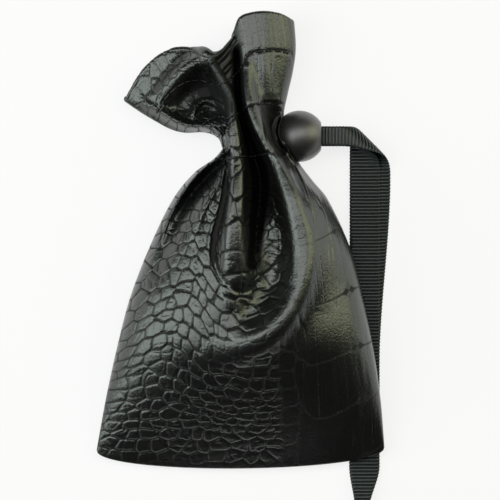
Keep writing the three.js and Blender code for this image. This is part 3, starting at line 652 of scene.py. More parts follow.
def fold_rise(fold, x, y):
    """Rise of one fold at a place, all in hundredths."""
    path, shoulder = fold
    nearest = np.full(np.shape(x), np.inf)
    rise = np.zeros(np.shape(x))
    for a, b in zip(path, path[1:]):
        run_x, run_y = across(b[0] - a[0]), along(b[1]) - along(a[1])
        to_x, to_y = across(x - a[0]), along(y) - along(a[1])
        s = clamp((run_x * to_x + run_y * to_y) / (run_x**2 + run_y**2))
        distance = np.hypot(to_x - s * run_x, to_y - s * run_y) / across(mix(a[3], b[3], s))
        closer = distance < nearest
        nearest = np.where(closer, distance, nearest)
        rise = np.where(closer, mix(a[2], b[2], s) * np.exp(-(distance**shoulder)), rise)
    return rise


def on_fold(name, x, y):
    """Near 1 along the middle of one fold, and 0 away from it."""
    path, shoulder = folds_of_bag[name]
    level = np.array([1, 1, 0, 1]) * path + [0, 0, 1, 0]
    return fold_rise((level, shoulder), x / BAG_WIDTH * 100, (y / BAG_LENGTH + 0.5) * 100)


def seam_height(u, v):
    return mix(through(LEFT_SEAM_HEIGHT, v)[0], through(RIGHT_SEAM_HEIGHT, v)[0], u)


def seam_half_gap(u, v):
    """Half of the height that parts the panels over the seams, more where the ribbon comes out."""
    y = along(outline(u, v)[1])
    beside = ease(1 - (np.abs(y - bead[1]) - EXIT_HALF_LENGTH) / EXIT_FADE)
    within = ease(1 - (1 - u) / EXIT_DEPTH)
    return SEAM_CONTACT + beside * within * (strand_pitch / 2 + RIBBON_THICKNESS / 2 + GAP)


def pressed_by_bead(points, depth=0.0):
    """The points, with those that the bead would touch pushed clear of it and none below the table."""
    clear = bead_radius + BEAD_CONTACT + depth
    away = points - bead
    distance = np.maximum(np.linalg.norm(away, axis=-1, keepdims=True), 1e-9)
    points = np.where(distance < clear, bead + away / distance * clear, points)
    points[..., 2] = np.maximum(points[..., 2], 0)
    return points


def front_sheet(u, v, ridges=1.0, creases=0.0):
    """Upper surface of the front. Its underside leaves the ridges out, where the leather is doubled."""
    x, y = outline(u, v)
    wing = fade(u, *WING_SIDE) * fade(v, *WING_START)
    crown = through(CROWN, v)[0] * np.sqrt(np.maximum(4 * u * (1 - u), 0)) * mix(1, WING_CROWN, wing)
    clear = fade(u, 0, FOLD_START) * fade(u, 1, -FOLD_START) * fade(v, 0, FOLD_START)
    folds = sum(np.minimum(rise, 0) + ridges * np.maximum(rise, 0)
                for rise in (fold_rise(fold, x, y) for fold in folds_of_bag.values()))
    if creases:
        folds = folds + creases * sum(fold_rise(fold, x, y) for fold in creases_of_leather.values())
    height = deep(seam_height(u, v) + crown + folds * clear) + seam_half_gap(u, v)
    return as_points(across(x), along(y), height)


def back_sheet(u, v):
    """Lower surface of the back, flat on the table and rolled up to the seams."""
    x, y = outline(u, v)
    left, right = outline(0, v)[0], outline(1, v)[0]
    widest = ROLL_SHARE * across(right - left)

    def beyond_roll(distance, width):
        return 1 - clamp(1 - distance / width) ** ROLL_POWER

    flat = beyond_roll(across(x - left), np.minimum(LEFT_ROLL, widest))
    flat = flat * beyond_roll(across(right - x), np.minimum(RIGHT_ROLL, widest))
    flat = flat * beyond_roll(along(y) - along(base_seam(u)[1]), BASE_ROLL)
    height = deep(mix(seam_height(u, v), through(NECK_LIFT, v)[0], flat)) - seam_half_gap(u, v) * (1 - flat)
    return as_points(across(x), along(y), np.maximum(height, 0))


def front_under(u, v):
    return front_sheet(u, v, ridges=0.0)


def frame_at(surface, u, v):
    """A surface's point, its run towards the rim, and its normal on the left of its runs."""
    du, dv = (np.where(place + SMALL_STEP > 1, -SMALL_STEP, SMALL_STEP) for place in (u, v))
    here = surface(u, v)
    along_u = (surface(u + du, v) - here) * np.sign(du)[..., None]
    along_v = unit((surface(u, v + dv) - here) * np.sign(dv)[..., None])
    return here, along_v, unit(np.cross(along_u, along_v))


def inside(sheet, side, depth, u, v):
    """The surface a depth inside the bag from one panel: side is 1 for the front, -1 for the back."""
    u, v, depth = (np.array(a, float) for a in np.broadcast_arrays(u, v, depth))
    here, along_v, normal = frame_at(sheet, u, v)
    on_left, on_right, on_base = u < SMALL_STEP, u > 1 - SMALL_STEP, v < SMALL_STEP
    from_seam = unit(as_points(along_v[..., 1], -along_v[..., 0], 0 * u))
    level = as_points(0 * u, on_base.astype(float), 0 * u)
    level = unit(level + from_seam * (on_left.astype(float) - on_right.astype(float))[..., None])
    at_seam = (on_left | on_right | on_base)[..., None]
    moved = here + np.where(at_seam, level, -side * normal) * depth[..., None]
    here = pressed_by_bead(moved, depth[..., None])
    parting, clear = deep(seam_height(u, v)), seam_half_gap(u, v)
    here[..., 2] = np.where(side > 0, np.maximum(here[..., 2], parting + clear),
                            np.minimum(here[..., 2], parting - clear))
    return here


random_places = np.random.default_rng(RANDOM_SEED).random((RANDOM_CELLS, RANDOM_CELLS, 3))


def unevenness(x, y, size, layer=0, shift=0):
    """Smooth random height from 0 to 1, with swells of a size across and along."""
    x, y = x / size[0] + shift, y / size[1]
    column, row = np.floor(x).astype(int), np.floor(y).astype(int)
    s, t = ease(x - column), ease(y - row)

    def corner(i, j):
        return random_places[(row + j) % RANDOM_CELLS, (column + i) % RANDOM_CELLS, layer]

    return mix(mix(corner(0, 0), corner(1, 0), s), mix(corner(0, 1), corner(1, 1), s), t)


def crinkle(x, y, size, layer=0, shift=0):
    """Thin wandering lines, 1 on a line and 0 between them."""
    return np.exp(-(((unevenness(x, y, size, layer, shift) - 0.5) / CRINKLE_WIDTH) ** 2))


# One row of the small scales, seen from above, as X and Y. Below the foot of the folds the rows
# hang in arcs round one place. A pair is where a change starts and the run that it takes.
ROW_GUIDE = [[-60, -38], [-39, -32], [-27, -26.5], [-17, -24], [-10.5, -27], [-5, -32.5], [1.5, -35],
             [12, -33], [60, -30]]
ROW_ENDS = (-60, 60)
ROW_LEVEL = -24
ROW_SAG_ABOVE = 0.25
ROW_SAG_BODY = (5, -25)
ROW_SAG_BASE = (-66, 26)
ARC_FOOT = (2.5, -2)
ARC_RADIUS = 14
ARC_OVER = 16
ARC_ROW = 33
ARC_SWING = (-1.05, 0.87)
ARC_BASE = (-62, 20)
FLANK_SCALE = (5.3, 3.8)
FLANK_JITTER = (0.72, 0.432)
FLANK_SIZES = (0.9, 1.1)
FLANK_CREASE = 0.14
FLANK_SIDE_SHARE = 0.6
CREASE_DEPTH = 0.33
PILLOW_DEPTH = 0.13
PILLOW_WIDTH = 0.55
FAR_OFF = 9.0
CRINKLE_WIDTH = 0.045


def row_places(x, y, lx):
    """Place along the rows of small scales and from row to row."""
    guide = through(ROW_GUIDE, clamp(x, *ROW_ENDS))[0] - ROW_LEVEL
    sag = guide * mix(ROW_SAG_ABOVE, 1, fade(y, *ROW_SAG_BODY)) * fade(y, *ROW_SAG_BASE)
    dx, dy = x - ARC_FOOT[0], y - ARC_FOOT[1]
    reach, swing = np.hypot(dx, dy), np.arctan2(dx, -dy)
    hanging = fade(swing, *ARC_SWING) * fade(y, *ARC_BASE)
    near = hanging * (1 - fade(reach, ARC_RADIUS, ARC_OVER))
    return mix(lx, ARC_RADIUS * swing, near), mix(y - ROW_LEVEL - sag, ARC_ROW - reach, hanging)


def flank_scales(c, r):
    """Depth in millimetres under small oval scales laid like bricks in rows, and how near a crease is."""
    width, height = FLANK_SCALE
    row = np.floor(r / height).astype(int)
    nearest, second = np.full(np.shape(c), FAR_OFF), np.full(np.shape(c), FAR_OFF)
    own_row, next_row = np.zeros(np.shape(c), int), np.zeros(np.shape(c), int)
    for up in (-1, 0, 1):
        this_row = row + up
        shift = 0.5 * (this_row % 2)
        column = np.floor(c / width - shift).astype(int)
        for over in (-1, 0, 1):
            jitter = random_places[this_row % RANDOM_CELLS, (column + over) % RANDOM_CELLS]
            cx = (column + over + shift + 0.5 + (jitter[..., 0] - 0.5) * FLANK_JITTER[0]) * width
            cy = (this_row + 0.5 + (jitter[..., 1] - 0.5) * FLANK_JITTER[1]) * height
            distance = np.hypot((c - cx) / width, (r - cy) / height) * mix(*FLANK_SIZES, jitter[..., 2])
            first = distance < nearest
            runner_up = ~first & (distance < second)
            second = np.where(first, nearest, np.where(runner_up, distance, second))
            next_row = np.where(first, own_row, np.where(runner_up, this_row, next_row))
            nearest = np.where(first, distance, nearest)
            own_row = np.where(first, this_row, own_row)
    crease = 1 - ease((second - nearest) / FLANK_CREASE)
    crease = crease * np.where(own_row != next_row, 1, FLANK_SIDE_SHARE)
    pillow = clamp(1 - (second - nearest) / PILLOW_WIDTH) ** 2
    return CREASE_DEPTH * crease + PILLOW_DEPTH * pillow, crease


BELLY_COLUMNS = [13, 18.3, 38.6, 60]
BELLY_ROWS = [-90, -70, -54.5, -39.5, -24, -6, 11, 28, 45, 62, 80]
BELLY_SIDE_WANDER = 2.2
BELLY_SIDE_SWELL = (7, 30)
BELLY_ROW_WANDER = 2.6
BELLY_ROW_SWELL = (9, 14)
BELLY_BOW = 0.8
BELLY_DIP = 23
BELLY_SLOPE = 0.2
BELLY_CURL = 0.6
BELLY_GROOVE = 0.34
BELLY_SIDE_SHARE = 0.35
BELLY_CORNER = 3.2
BELLY_DEPTH = 0.12
BELLY_TOP = (0.5, -0.15)
BELLY_WEAR = 0.45
BELLY_WEAR_SWELL = (6, 6)
SMALL_ROW = 5.1
SMALL_BOW = 0.4
SMALL_CORNER = 1.6
SMALL_FILE_TOP = (0.27, -0.05)


def belly_scales(lx, ly, v):
    """Depth under the big square scales in columns, each bowed towards the base, and a file of small ones."""
    lx = lx + BELLY_SIDE_WANDER * (unevenness(ly, lx, BELLY_SIDE_SWELL, layer=2) - 0.5)
    column = np.clip(np.searchsorted(BELLY_COLUMNS, lx) - 1, 0, len(BELLY_COLUMNS) - 2)
    in_file = column == 0
    left, right = np.take(BELLY_COLUMNS, column), np.take(BELLY_COLUMNS, column + 1)
    middle, half = (left + right) / 2, (right - left) / 2
    rising = np.where(lx > BELLY_DIP, BELLY_SLOPE * (lx - BELLY_DIP), BELLY_CURL * (BELLY_DIP - lx))
    bow = BELLY_BOW * (1 - clamp((lx - middle) / half, -1, 1) ** 2)
    y = ly + np.where(in_file, SMALL_BOW, bow - rising)
    y = y + BELLY_ROW_WANDER * (unevenness(lx, ly, BELLY_ROW_SWELL, layer=1) - 0.5)
    row = np.clip(np.searchsorted(BELLY_ROWS, y) - 1, 0, len(BELLY_ROWS) - 2)
    small = np.floor(y / SMALL_ROW) * SMALL_ROW
    low = np.where(in_file, small, np.take(BELLY_ROWS, row))
    high = np.where(in_file, small + SMALL_ROW, np.take(BELLY_ROWS, row + 1))
    to_side = np.minimum(lx - left, right - lx)
    to_row = np.minimum(y - low, high - y)
    corner = np.where(in_file, SMALL_CORNER, BELLY_CORNER)
    in_corner = (to_side < corner) & (to_row < corner)
    rounded = corner - np.hypot(corner - to_side, corner - to_row)
    edge = np.where(in_corner, rounded, np.minimum(to_side, to_row))
    crease = 1 - ease(edge / BELLY_GROOVE)
    crease = crease * np.where((to_side < to_row) & ~in_file, BELLY_SIDE_SHARE, 1)
    crease = crease * fade(v, *BELLY_TOP)
    crease = crease * np.where(in_file, fade(v, *SMALL_FILE_TOP), 1)
    crease = crease * mix(BELLY_WEAR, 1, unevenness(lx, ly, BELLY_WEAR_SWELL, layer=2))
    return BELLY_DEPTH * crease, crease


LEATHER_WIDTHS = [[0, 90], [0.35, 84], [NECK, NECK_LEATHER], [0.75, 75], [1, 90]]
LEATHER_BODY = (-67, 32.4)
LEATHER_MOUTH = 39
MOUTH_ROWS = 25
RIDGE_AXIS = [[-20, -1.8], [-8, -2], [6, -1.4], [16, -0.7], [27, -0.8], [36, -1.7], [43, -3.1],
              [49, -5.8], [75, -9]]
RIDGE_COLUMN = (0.8, 2.4)
RIDGE_ROW = (0.5, 1)
COLUMN_WANDER = 1.6
COLUMN_SWELL = (9, 9)
ROW_WANDER = 1.4
ROW_SWELL = (11, 8)
CRINKLE_DEPTH = 0.14
LONG_CRINKLE = (7, 2.6)
SHORT_CRINKLE = (2.6, 6)
SHORT_CRINKLE_SHARE = 0.7
WRINKLE_DEPTH = 0.2
WRINKLE = (2.4, 17)
WRINKLE_PATCHES = (8, 16)
WRINKLE_FROM = (0.35, 0.3)
STREAK = (1.2, 9)
STREAK_SHARE = 0.5
FLARE_LINE_DEPTH = 0.22
FLARE_LINE = (1 / 11, 9)
FLARE_THROAT = (-3, 37)
FIRST_FILE = (5, 9)
FILE_DRIFT = (-38, 30)

# Where each part of the pattern starts, and the run over which it does, in shares of U and V, of
# being on a fold, or in millimetres of X and Y.
MOUTH_PATTERN = (0.54, 0.08)
RIDGE_PATTERN = (0.3, 0.1)
VALLEY_PATTERN = (0, 0.5)
VALLEY_TOP = (14, 8)
ROLL_PATTERN = (0.36, 0.4)
FLARE_PATTERN = (0, 0.4)
FLARE_LINES_PATTERN = (0, 0.5)
FOOT_PATTERN = (9, -6)
BELLY_PATTERN = (-1.5, 3)
WING_PATTERN = (0.66, 0.06)
WING_PATTERN_SIDE = (0.6, -0.1)
HEM_PATTERN = 0.02
COLLAR_PATTERN = (0.7, 0.06)
COLLAR_MIDDLE = 0.55
COLLAR_SIDE = (0.09, -0.04)
FAINT_ON = {"wing": 0.7, "hem": 0.7, "roll": 0.25, "flare": 0.3}

# How much painted shade each deep fold takes, making it darker, duller and less reflective, and above what Y
# it is; the collar takes painted shade too.
PAINTED_SHADE_FOLDS = {"deep valley": (0.97, -20), "left shoulder hollow": (0.8, 4),
              "recess above the bead": (0.6, 0), "flare hollow": (0.3, 0)}
PAINTED_SHADE_OVER = 10
PAINTED_SHADE_ON_FOLD = (0.24, 0.4)
PAINTED_SHADE_ON_COLLAR = 0.5


def embossing(u, v, x, y):
    """Depth in millimetres of the pattern and of the fine creases, and a rise share that is low near a groove
    and lowered in the deep folds and on the collar, where the leather's material paints shade.
    """
    lx = (u - 0.5) * through(LEATHER_WIDTHS, v)[0]
    ly = np.where(v <= NECK, mix(*LEATHER_BODY, v / NECK),
                  LEATHER_BODY[1] + (v - NECK) / (1 - NECK) * LEATHER_MOUTH)
    in_mouth = fade(v, *MOUTH_PATTERN)
    on_ridge = fade(on_fold("narrow ridge", x, y), *RIDGE_PATTERN) > 0.5
    in_valley = fade(on_fold("deep valley", x, y), *VALLEY_PATTERN) * fade(y, *VALLEY_TOP)
    on_roll = np.maximum(fade(on_fold("diagonal ridge", x, y), *ROLL_PATTERN), in_valley)
    on_flare = on_fold("flare hollow", x, y)
    at_foot = fade(np.hypot(x - ARC_FOOT[0], y - ARC_FOOT[1]), *FOOT_PATTERN)

    c, r = row_places(x, y, lx)
    c, r = mix(c, lx, in_mouth), mix(r, ly + MOUTH_ROWS, in_mouth)
    beside_axis = x - through(RIDGE_AXIS, clamp(y, RIDGE_AXIS[0][0], RIDGE_AXIS[-1][0]))[0]
    c = np.where(on_ridge, RIDGE_COLUMN[0] * beside_axis + RIDGE_COLUMN[1], c)
    r = np.where(on_ridge, RIDGE_ROW[0] * y + RIDGE_ROW[1], r)
    c = c + COLUMN_WANDER * (unevenness(c, r, COLUMN_SWELL) - 0.5)
    r = r + ROW_WANDER * (unevenness(c, r, ROW_SWELL, layer=1, shift=20) - 0.5)
    flank, flank_crease = flank_scales(c, r)
    long_lines = crinkle(c, r, LONG_CRINKLE, layer=1, shift=9)
    short_lines = SHORT_CRINKLE_SHARE * crinkle(c, r, SHORT_CRINKLE, layer=2)
    flank = flank + CRINKLE_DEPTH * (long_lines + short_lines)

    belly, belly_crease = belly_scales(lx, ly, v)
    wrinkled = fade(unevenness(lx, ly, WRINKLE_PATCHES, layer=2, shift=30), *WRINKLE_FROM)
    streaks = STREAK_SHARE * unevenness(lx, ly, STREAK, layer=2)
    belly = belly + WRINKLE_DEPTH * (crinkle(lx, ly, WRINKLE) * wrinkled + streaks)
    first_file = mix(BELLY_COLUMNS[0] + FIRST_FILE[0] * fade(y, *FILE_DRIFT), FIRST_FILE[1], in_mouth)
    on_belly = fade(lx - first_file, *BELLY_PATTERN)

    wing = fade(v, *WING_PATTERN) * fade(u, *WING_PATTERN_SIDE)
    hem = fade(v, hem_line, HEM_PATTERN)
    collar = fade(v, *COLLAR_PATTERN) * fade(np.abs(u - COLLAR_MIDDLE), *COLLAR_SIDE)
    flat = {"wing": wing, "hem": hem, "roll": np.maximum(on_roll, at_foot),
            "flare": np.maximum(fade(on_flare, *FLARE_PATTERN), collar)}
    strength = math.prod(mix(1, FAINT_ON[part], share) for part, share in flat.items())
    depth = strength * mix(flank, belly, on_belly)
    fan_x, fan_y = x - FLARE_THROAT[0], y - FLARE_THROAT[1]
    fan = crinkle(np.arctan2(fan_y, -fan_x), np.hypot(fan_x, fan_y), FLARE_LINE, layer=1, shift=40)
    depth = depth + FLARE_LINE_DEPTH * fade(on_flare, *FLARE_LINES_PATTERN) * fan

    # Painted shade in the grooves: the rise share falls there, so the leather's material darkens them and
    # dims their reflections.
    rise = 1 - strength * mix(flank_crease, belly_crease, on_belly)
    # Painted shade in the deep folds and on the collar: the rise share is lowered there, and the leather's
    # material paints it darker.
    for name, (much, foot) in PAINTED_SHADE_FOLDS.items():
        rise = rise * (1 - much * fade(on_fold(name, x, y), *PAINTED_SHADE_ON_FOLD) * fade(y, foot, PAINTED_SHADE_OVER))
    return -depth, rise * (1 - PAINTED_SHADE_ON_COLLAR * collar)


PLEAT_PITCH = 5.6
PLEAT_DEPTH = 0.5
PLEATS_MIDDLE = 5
PLEATS_APART = (9, 5)
PLEATS_LENGTH = 0.085
PLEAT_WANDER = 0.5
PLEAT_SWELL = (7, 1 / 9)


def gathers(u, v):
    """Depth of the small pleats that the drawn ribbon leaves, running out from the neck."""
    lx = (u - 0.5) * NECK_LEATHER
    near = np.exp(-(((v - NECK) / PLEATS_LENGTH) ** 2)) * fade(np.abs(lx - PLEATS_MIDDLE), *PLEATS_APART)
    phase = lx / PLEAT_PITCH + PLEAT_WANDER * unevenness(lx, v, PLEAT_SWELL, layer=1)
    return -PLEAT_DEPTH * near * (0.5 - 0.5 * np.cos(2 * math.pi * phase))


neck_y = along(CINCH[4][2])
mouth_length = along(RIM[10][2]) - neck_y
body_length = neck_y - along(0)
hem_line = 1 - HEM_DEPTH / mouth_length * (1 - NECK)
casing_top = NECK + CASING_ABOVE / mouth_length * (1 - NECK)
casing_foot = NECK * (1 - CASING_BELOW / body_length)
STITCH_DENT = 0.22
STITCH_DENT_WIDTH = 0.65
STITCH_DENT_FADE = 0.8
PLAIN_SIDE = 0.025
PLAIN_BASE = 0.02


def dressed(sheet, side, u, v, **folds):
    """The outer surface of one panel with its embossing, gathers and stitch lines, and its rise share, which
    is lower where painted shade darkens the grooves, deep folds and collar.
    """
    smooth = pressed_by_bead(sheet(u, v, **folds))
    x, y = side * smooth[..., 0], smooth[..., 1]
    depth, rise = embossing(u if side > 0 else 1 - u, v, x, y)
    depth = depth + gathers(u, v)
    dent = STITCH_DENT * (1 - STITCH_DENT_FADE * fade(on_fold("flare hollow", x, y), *FLARE_PATTERN))
    for line in (hem_line, casing_top, casing_foot):
        from_line = (v - line) / (1 - NECK) * mouth_length
        depth = depth - dent * np.exp(-((from_line / STITCH_DENT_WIDTH) ** 2))
    edge = fade(u, 0, PLAIN_SIDE) * fade(u, 1, -PLAIN_SIDE) * fade(v, 0, PLAIN_BASE)
    points = smooth + side * normals_of(smooth) * (depth * edge)[..., None]
    points[..., 2] = np.maximum(points[..., 2], 0)
    return points, rise


def zip_edge(a, a_at, b, b_at):
    """Triangles between two runs of points, each with its places along them in rising order."""
    faces, i, j = [], 0, 0
    while i < len(a) - 1 or j < len(b) - 1:
        if j == len(b) - 1 or (i < len(a) - 1 and a_at[i + 1] <= b_at[j + 1]):
            faces.append([a[i], a[i + 1], b[j]])
            i += 1
        else:
            faces.append([a[i], b[j + 1], b[j]])
            j += 1
    return faces


ROLL_STEPS = 7
HEM_STEPS = 16
LINING_STEPS = 70
HEM_OVERLAP = 0.012
HEM_LEDGE = 0.004
rim_line = 1 - HEM_THICKNESS / 2 / mouth_length * (1 - NECK)


def panel(name, node, sheet, under, side, columns, rows, **folds):
    """One panel as a closed skin: embossed outside, rolled rim, turned hem and flesh side within."""
    u = np.linspace(0, 1, columns)[None, :]
    v = rim_line * np.linspace(0, 1, rows)[:, None]
    outer, rise = dressed(sheet, side, u, v, **folds)
    hem_foot = hem_line - HEM_OVERLAP
    hem_places = np.linspace(rim_line, hem_foot, HEM_STEPS)[:, None]
    lining_places = np.linspace(hem_foot - HEM_LEDGE, 0, LINING_STEPS)[:, None]
    hem = inside(under, side, HEM_THICKNESS, u, hem_places)
    lining = inside(under, side, LEATHER, u, lining_places)
    turn = np.linspace(0, math.pi, ROLL_STEPS + 2)[1:-1, None, None]
    middle, half = (outer[-1] + hem[0]) / 2, (outer[-1] - hem[0]) / 2
    ahead = side * unit(np.cross(unit(half), np.gradient(outer[-1], axis=0)))
    reach = np.linalg.norm(half, axis=-1, keepdims=True)
    roll = middle + half * np.cos(turn) + ahead * reach * np.sin(turn)
    grid = np.concatenate([outer, roll, hem, lining])
    # Painted shade reaches only the embossed outside; the roll, hem and lining keep a rise share of 1.
    rises = np.concatenate([rise, np.ones((len(grid) - len(rise), columns))])

    index = np.arange(grid.shape[0] * columns).reshape(-1, columns)
    quads = np.stack([index[:-1, :-1], index[:-1, 1:], index[1:, 1:], index[1:, :-1]], -1).reshape(-1, 4)
    base = np.stack([index[-1, :-1], index[-1, 1:], index[0, 1:], index[0, :-1]], -1)
    half_roll = ROLL_STEPS // 2
    out_at = np.append(v[:, 0], [1] * half_roll)
    in_at = np.concatenate([[0], lining_places[::-1, 0], hem_places[::-1, 0], [1] * (ROLL_STEPS - half_roll)])
    sides = []
    for column in (0, columns - 1):
        way = index[:, column]
        out_run, in_run = way[: rows + half_roll], way[rows + half_roll :][::-1]
        sides += zip_edge(list(out_run), out_at, [out_run[0], *in_run], in_at)
    faces = quads.tolist() + base.tolist() + [face for face in sides if len(set(face)) == 3]

    # The rise attribute carries the painted shade of the grooves, deep folds and collar to the leather's
    # material.
    made = make_piece(name, grid, faces, embossed_leather, flesh_side, rise=rises)
    first_lining = (rows + ROLL_STEPS + HEM_STEPS) * (columns - 1)
    kind = np.zeros(len(faces), np.int32)
    kind[first_lining : len(quads) + len(base)] = 1
    made.data.polygons.foreach_set("material_index", kind)
    return stand_for(made, node)


TONE_PATCH = 7.69
CRACKS_APART = 2.08
CRACK_WANDER = 4.17
PORES_DRAWN = 0.588
CRACK_RELIEF = {"Strength": 0.2, "Distance": 0.12 * MM}
PORE_RELIEF = {"Strength": 0.4, "Distance": 0.12 * MM, "invert": True}
CRACK_BEND = 4 * MM


def embossed_calf():
    """Calf embossed like crocodile, finished satin black, so scales shine softly. Where its rise attribute is
    low, in the scale grooves, the deep folds and the collar, painted shade darkens it and dims its
    reflections, and it turns rougher.

    Its pores, 0.2 mm across, are drawn three times as coarse so that they show.
    """
    material, tree, place = new_material("crocodile_embossed_calf")
    rise = add_node(tree, "ShaderNodeAttribute", {"attribute_name": "rise"}).outputs["Fac"]
    blotch = add_node(tree, "ShaderNodeTexNoise", {"Scale": per_metre(TONE_PATCH), "Detail": 3.0},
                      Vector=place)
    top = add_node(tree, "ShaderNodeValToRGB", {"stops": [(0.35, "#050505"), (0.75, "#0d0d0b")]},
                   Fac=blotch.outputs["Fac"])
    # Painted shade: the colour falls to near black where the rise attribute is low.
    colour = add_node(tree, "ShaderNodeMix", {"data_type": "RGBA", 6: linear("#020202")}, Factor=rise,
                      input7=top.outputs["Color"])
    gloss = add_node(tree, "ShaderNodeMapRange", {"To Min": 0.8, "To Max": 0.31}, Value=rise)
    # Painted shade on the reflections: their tint falls from near white to a dark grey where the rise
    # attribute is low.
    shine = add_node(tree, "ShaderNodeMix", {"data_type": "RGBA", 6: linear("#262a28"), 7: linear("#ebf2ec")},
                     Factor=rise)
    bend = add_node(tree, "ShaderNodeTexNoise", {"Scale": per_metre(CRACK_WANDER), "Detail": 2.0},
                    Vector=place)
    bent = add_node(tree, "ShaderNodeVectorMath", {"operation": "MULTIPLY_ADD", 1: [CRACK_BEND] * 3},
                    input0=bend.outputs["Color"], input2=place)
    cracks = add_node(tree, "ShaderNodeTexVoronoi",
                      {"Scale": per_metre(CRACKS_APART), "feature": "DISTANCE_TO_EDGE"},
                      Vector=bent.outputs["Vector"])
    line = add_node(tree, "ShaderNodeMapRange", {"From Max": 0.12}, Value=cracks.outputs["Distance"])
    fine = add_node(tree, "ShaderNodeBump", CRACK_RELIEF, Height=line.outputs["Result"])
    pores = add_node(tree, "ShaderNodeTexVoronoi", {"Scale": per_metre(PORES_DRAWN), "feature": "SMOOTH_F1"},
                     Vector=place)
    grain = add_node(tree, "ShaderNodeBump", PORE_RELIEF, Height=pores.outputs["Distance"],
                     Normal=fine.outputs["Normal"])
    shader = add_node(tree, "ShaderNodeBsdfPrincipled",
                      {"IOR": 1.58, "Specular IOR Level": 0.85, "Coat Weight": 0.1, "Coat Roughness": 0.25},
                      Base_Color=colour.outputs[2], Roughness=gloss.outputs["Result"],
                      Specular_Tint=shine.outputs[2], Normal=grain.outputs["Normal"])
    add_node(tree, "ShaderNodeOutputMaterial", Surface=shader.outputs["BSDF"])
    return material


embossed_leather = embossed_calf()
# The flesh side of the calf: a short matt nap, dyed through. Its tufts of fibre, 0.2 mm across, are
# drawn three times as coarse so that they show.
NAP_DRAWN = 0.667
flesh_side = patterned(
    "calf_flesh_side", "ShaderNodeTexNoise", {"Scale": per_metre(NAP_DRAWN), "Detail": 4.0},
    stops=[(0, "#0f0e0e"), (1, "#1c1b1a")], relief=(0.6, 0.1),
    finish={"Roughness": 0.92, "Sheen Weight": 0.2},
)
panel("embossed_front", "front_panel", front_sheet, front_under, 1, columns=360, rows=600, creases=1.0)
panel("embossed_back", "back_panel", back_sheet, back_sheet, -1, columns=200, rows=330)


# Casing tapes
# A woven cotton tape, dyed black, is sewn inside each panel at the neck, along both its edges. The
# two tapes make the channel that the ribbon runs in.
TAPE_THICKNESS = 0.4
TAPE_TOP = LEATHER + 2 * GAP
FRONT_TAPE = (0.3, 0.8)
BACK_TAPE = (0.1, 0.8)
TAPE_ROWS = 40
TAPE_COLUMNS = 60

# Cotton twill tape, dyed black: matt, with fine slanting ridges. They are 0.7 mm apart, and drawn
# three times as coarse so that they show. A slanting wave has 2.25 bands to the unit at scale 1.
TWILL_DRAWN = 2.18
BANDS_PER_UNIT = 2.25
tape = patterned(
    "cotton_twill_tape", "ShaderNodeTexWave",
    {"bands_direction": "DIAGONAL", "Scale": per_metre(TWILL_DRAWN) / BANDS_PER_UNIT, "Distortion": 0.6},
    stops=[(0, "#0e0e0e"), (1, "#1f1f1e")], relief=(0.5, 0.1), finish={"Roughness": 0.9},
)


def tape_piece(name, node, top, under):
    sections = np.concatenate([top, under[:, ::-1]], axis=1)
    return stand_for(make_piece(name, sections, tube_faces(*sections.shape[:2]), tape), node)


tape_v = np.linspace(casing_foot, casing_top, TAPE_ROWS)[:, None]
tape_u = np.linspace(*FRONT_TAPE, TAPE_COLUMNS)[None, :]
flat_tape = front_under(tape_u, tape_v)
flat_tape[..., 2] = flat_tape[..., 2].min(axis=1, keepdims=True) - TAPE_TOP
tape_piece("casing_tape_under_front", "casing_tape_front", flat_tape, flat_tape - [0, 0, TAPE_THICKNESS])
tape_u = np.linspace(*BACK_TAPE, TAPE_COLUMNS)[None, :]
over_back = [inside(back_sheet, -1, depth, tape_u, tape_v) for depth in (TAPE_TOP, TAPE_TOP + TAPE_THICKNESS)]
tape_piece("casing_tape_over_back", "casing_tape_back", *over_back)


# Ribbon inside the neck
# The same ribbon goes in through the bead and the gap in the right seam, round the neck between
# the tapes, and out again. Its course is drawn in the neck's cross-section, as X and Z.
NECK_COURSE = [[25.75, 8.68], [18.36, 8.68], [11.27, 8.68], [8.87, 8.79], [6.87, 9.98], [5.63, 10.54],
               [0.46, 10.54], [-0.94, 8.7], [-0.54, 6.87], [0.83, 5.62], [2.53, 4.4], [5.63, 4.4],
               [6.87, 5.46], [8.87, 7.71], [11.27, 7.93], [18.36, 7.93], [25.75, 7.93]]
NECK_ROWS = 340
neck_keys = by_distance(NECK_COURSE)
neck_run = run_along(NECK_COURSE)[-1]
neck_ends = outline(np.array([0.0, 1.0]), NECK)
neck_tilt = (neck_ends[1, 1] - neck_ends[1, 0]) / (neck_ends[0, 1] - neck_ends[0, 0]) * BAG_LENGTH / BAG_WIDTH


def neck_surface(run, t):
    x, z = through(neck_keys, run / neck_run)
    inner = np.minimum(x, bead[0] - bore_mouth) - (bead[0] - bore_mouth)
    return as_points(x, bead[1] + neck_tilt * inner + (t - 0.5) * RIBBON_CUPPED_WIDTH, z)


ribbon_piece("ribbon_round_neck", "drawstring_neck_loop", neck_surface, neck_run, NECK_ROWS)


# Stitches that show
# Bonded polyester thread, sewn with a lockstitch along the hem and along both edges of the casing.
# Each stitch is a short two-ply thread that rises from its holes.
THREAD_DIAMETER = 0.6
THREAD_AROUND = 12
PLY_DEPTH = 0.16
PLY_PITCH = 1.1
THREAD_END = 0.25
THREAD_TIP = 0.15
STITCH_LENGTH = 2.7
STITCH_GAP = 0.5
STITCH_STEPS = 16
STITCH_HEIGHT = 0.34
STITCH_SUNK = 0.1
FIRST_STITCH = 0.6
STITCH_LINES = {"hem": (hem_line, (0.03, 0.97)), "casing_upper": (casing_top, (0.06, 0.9)),
                "casing_lower": (casing_foot, (0.06, 0.84))}
LINE_STEPS = 900
LINE_SPREAD = 0.001
UPRIGHT = np.array([0.0, 0.0, 1.0])

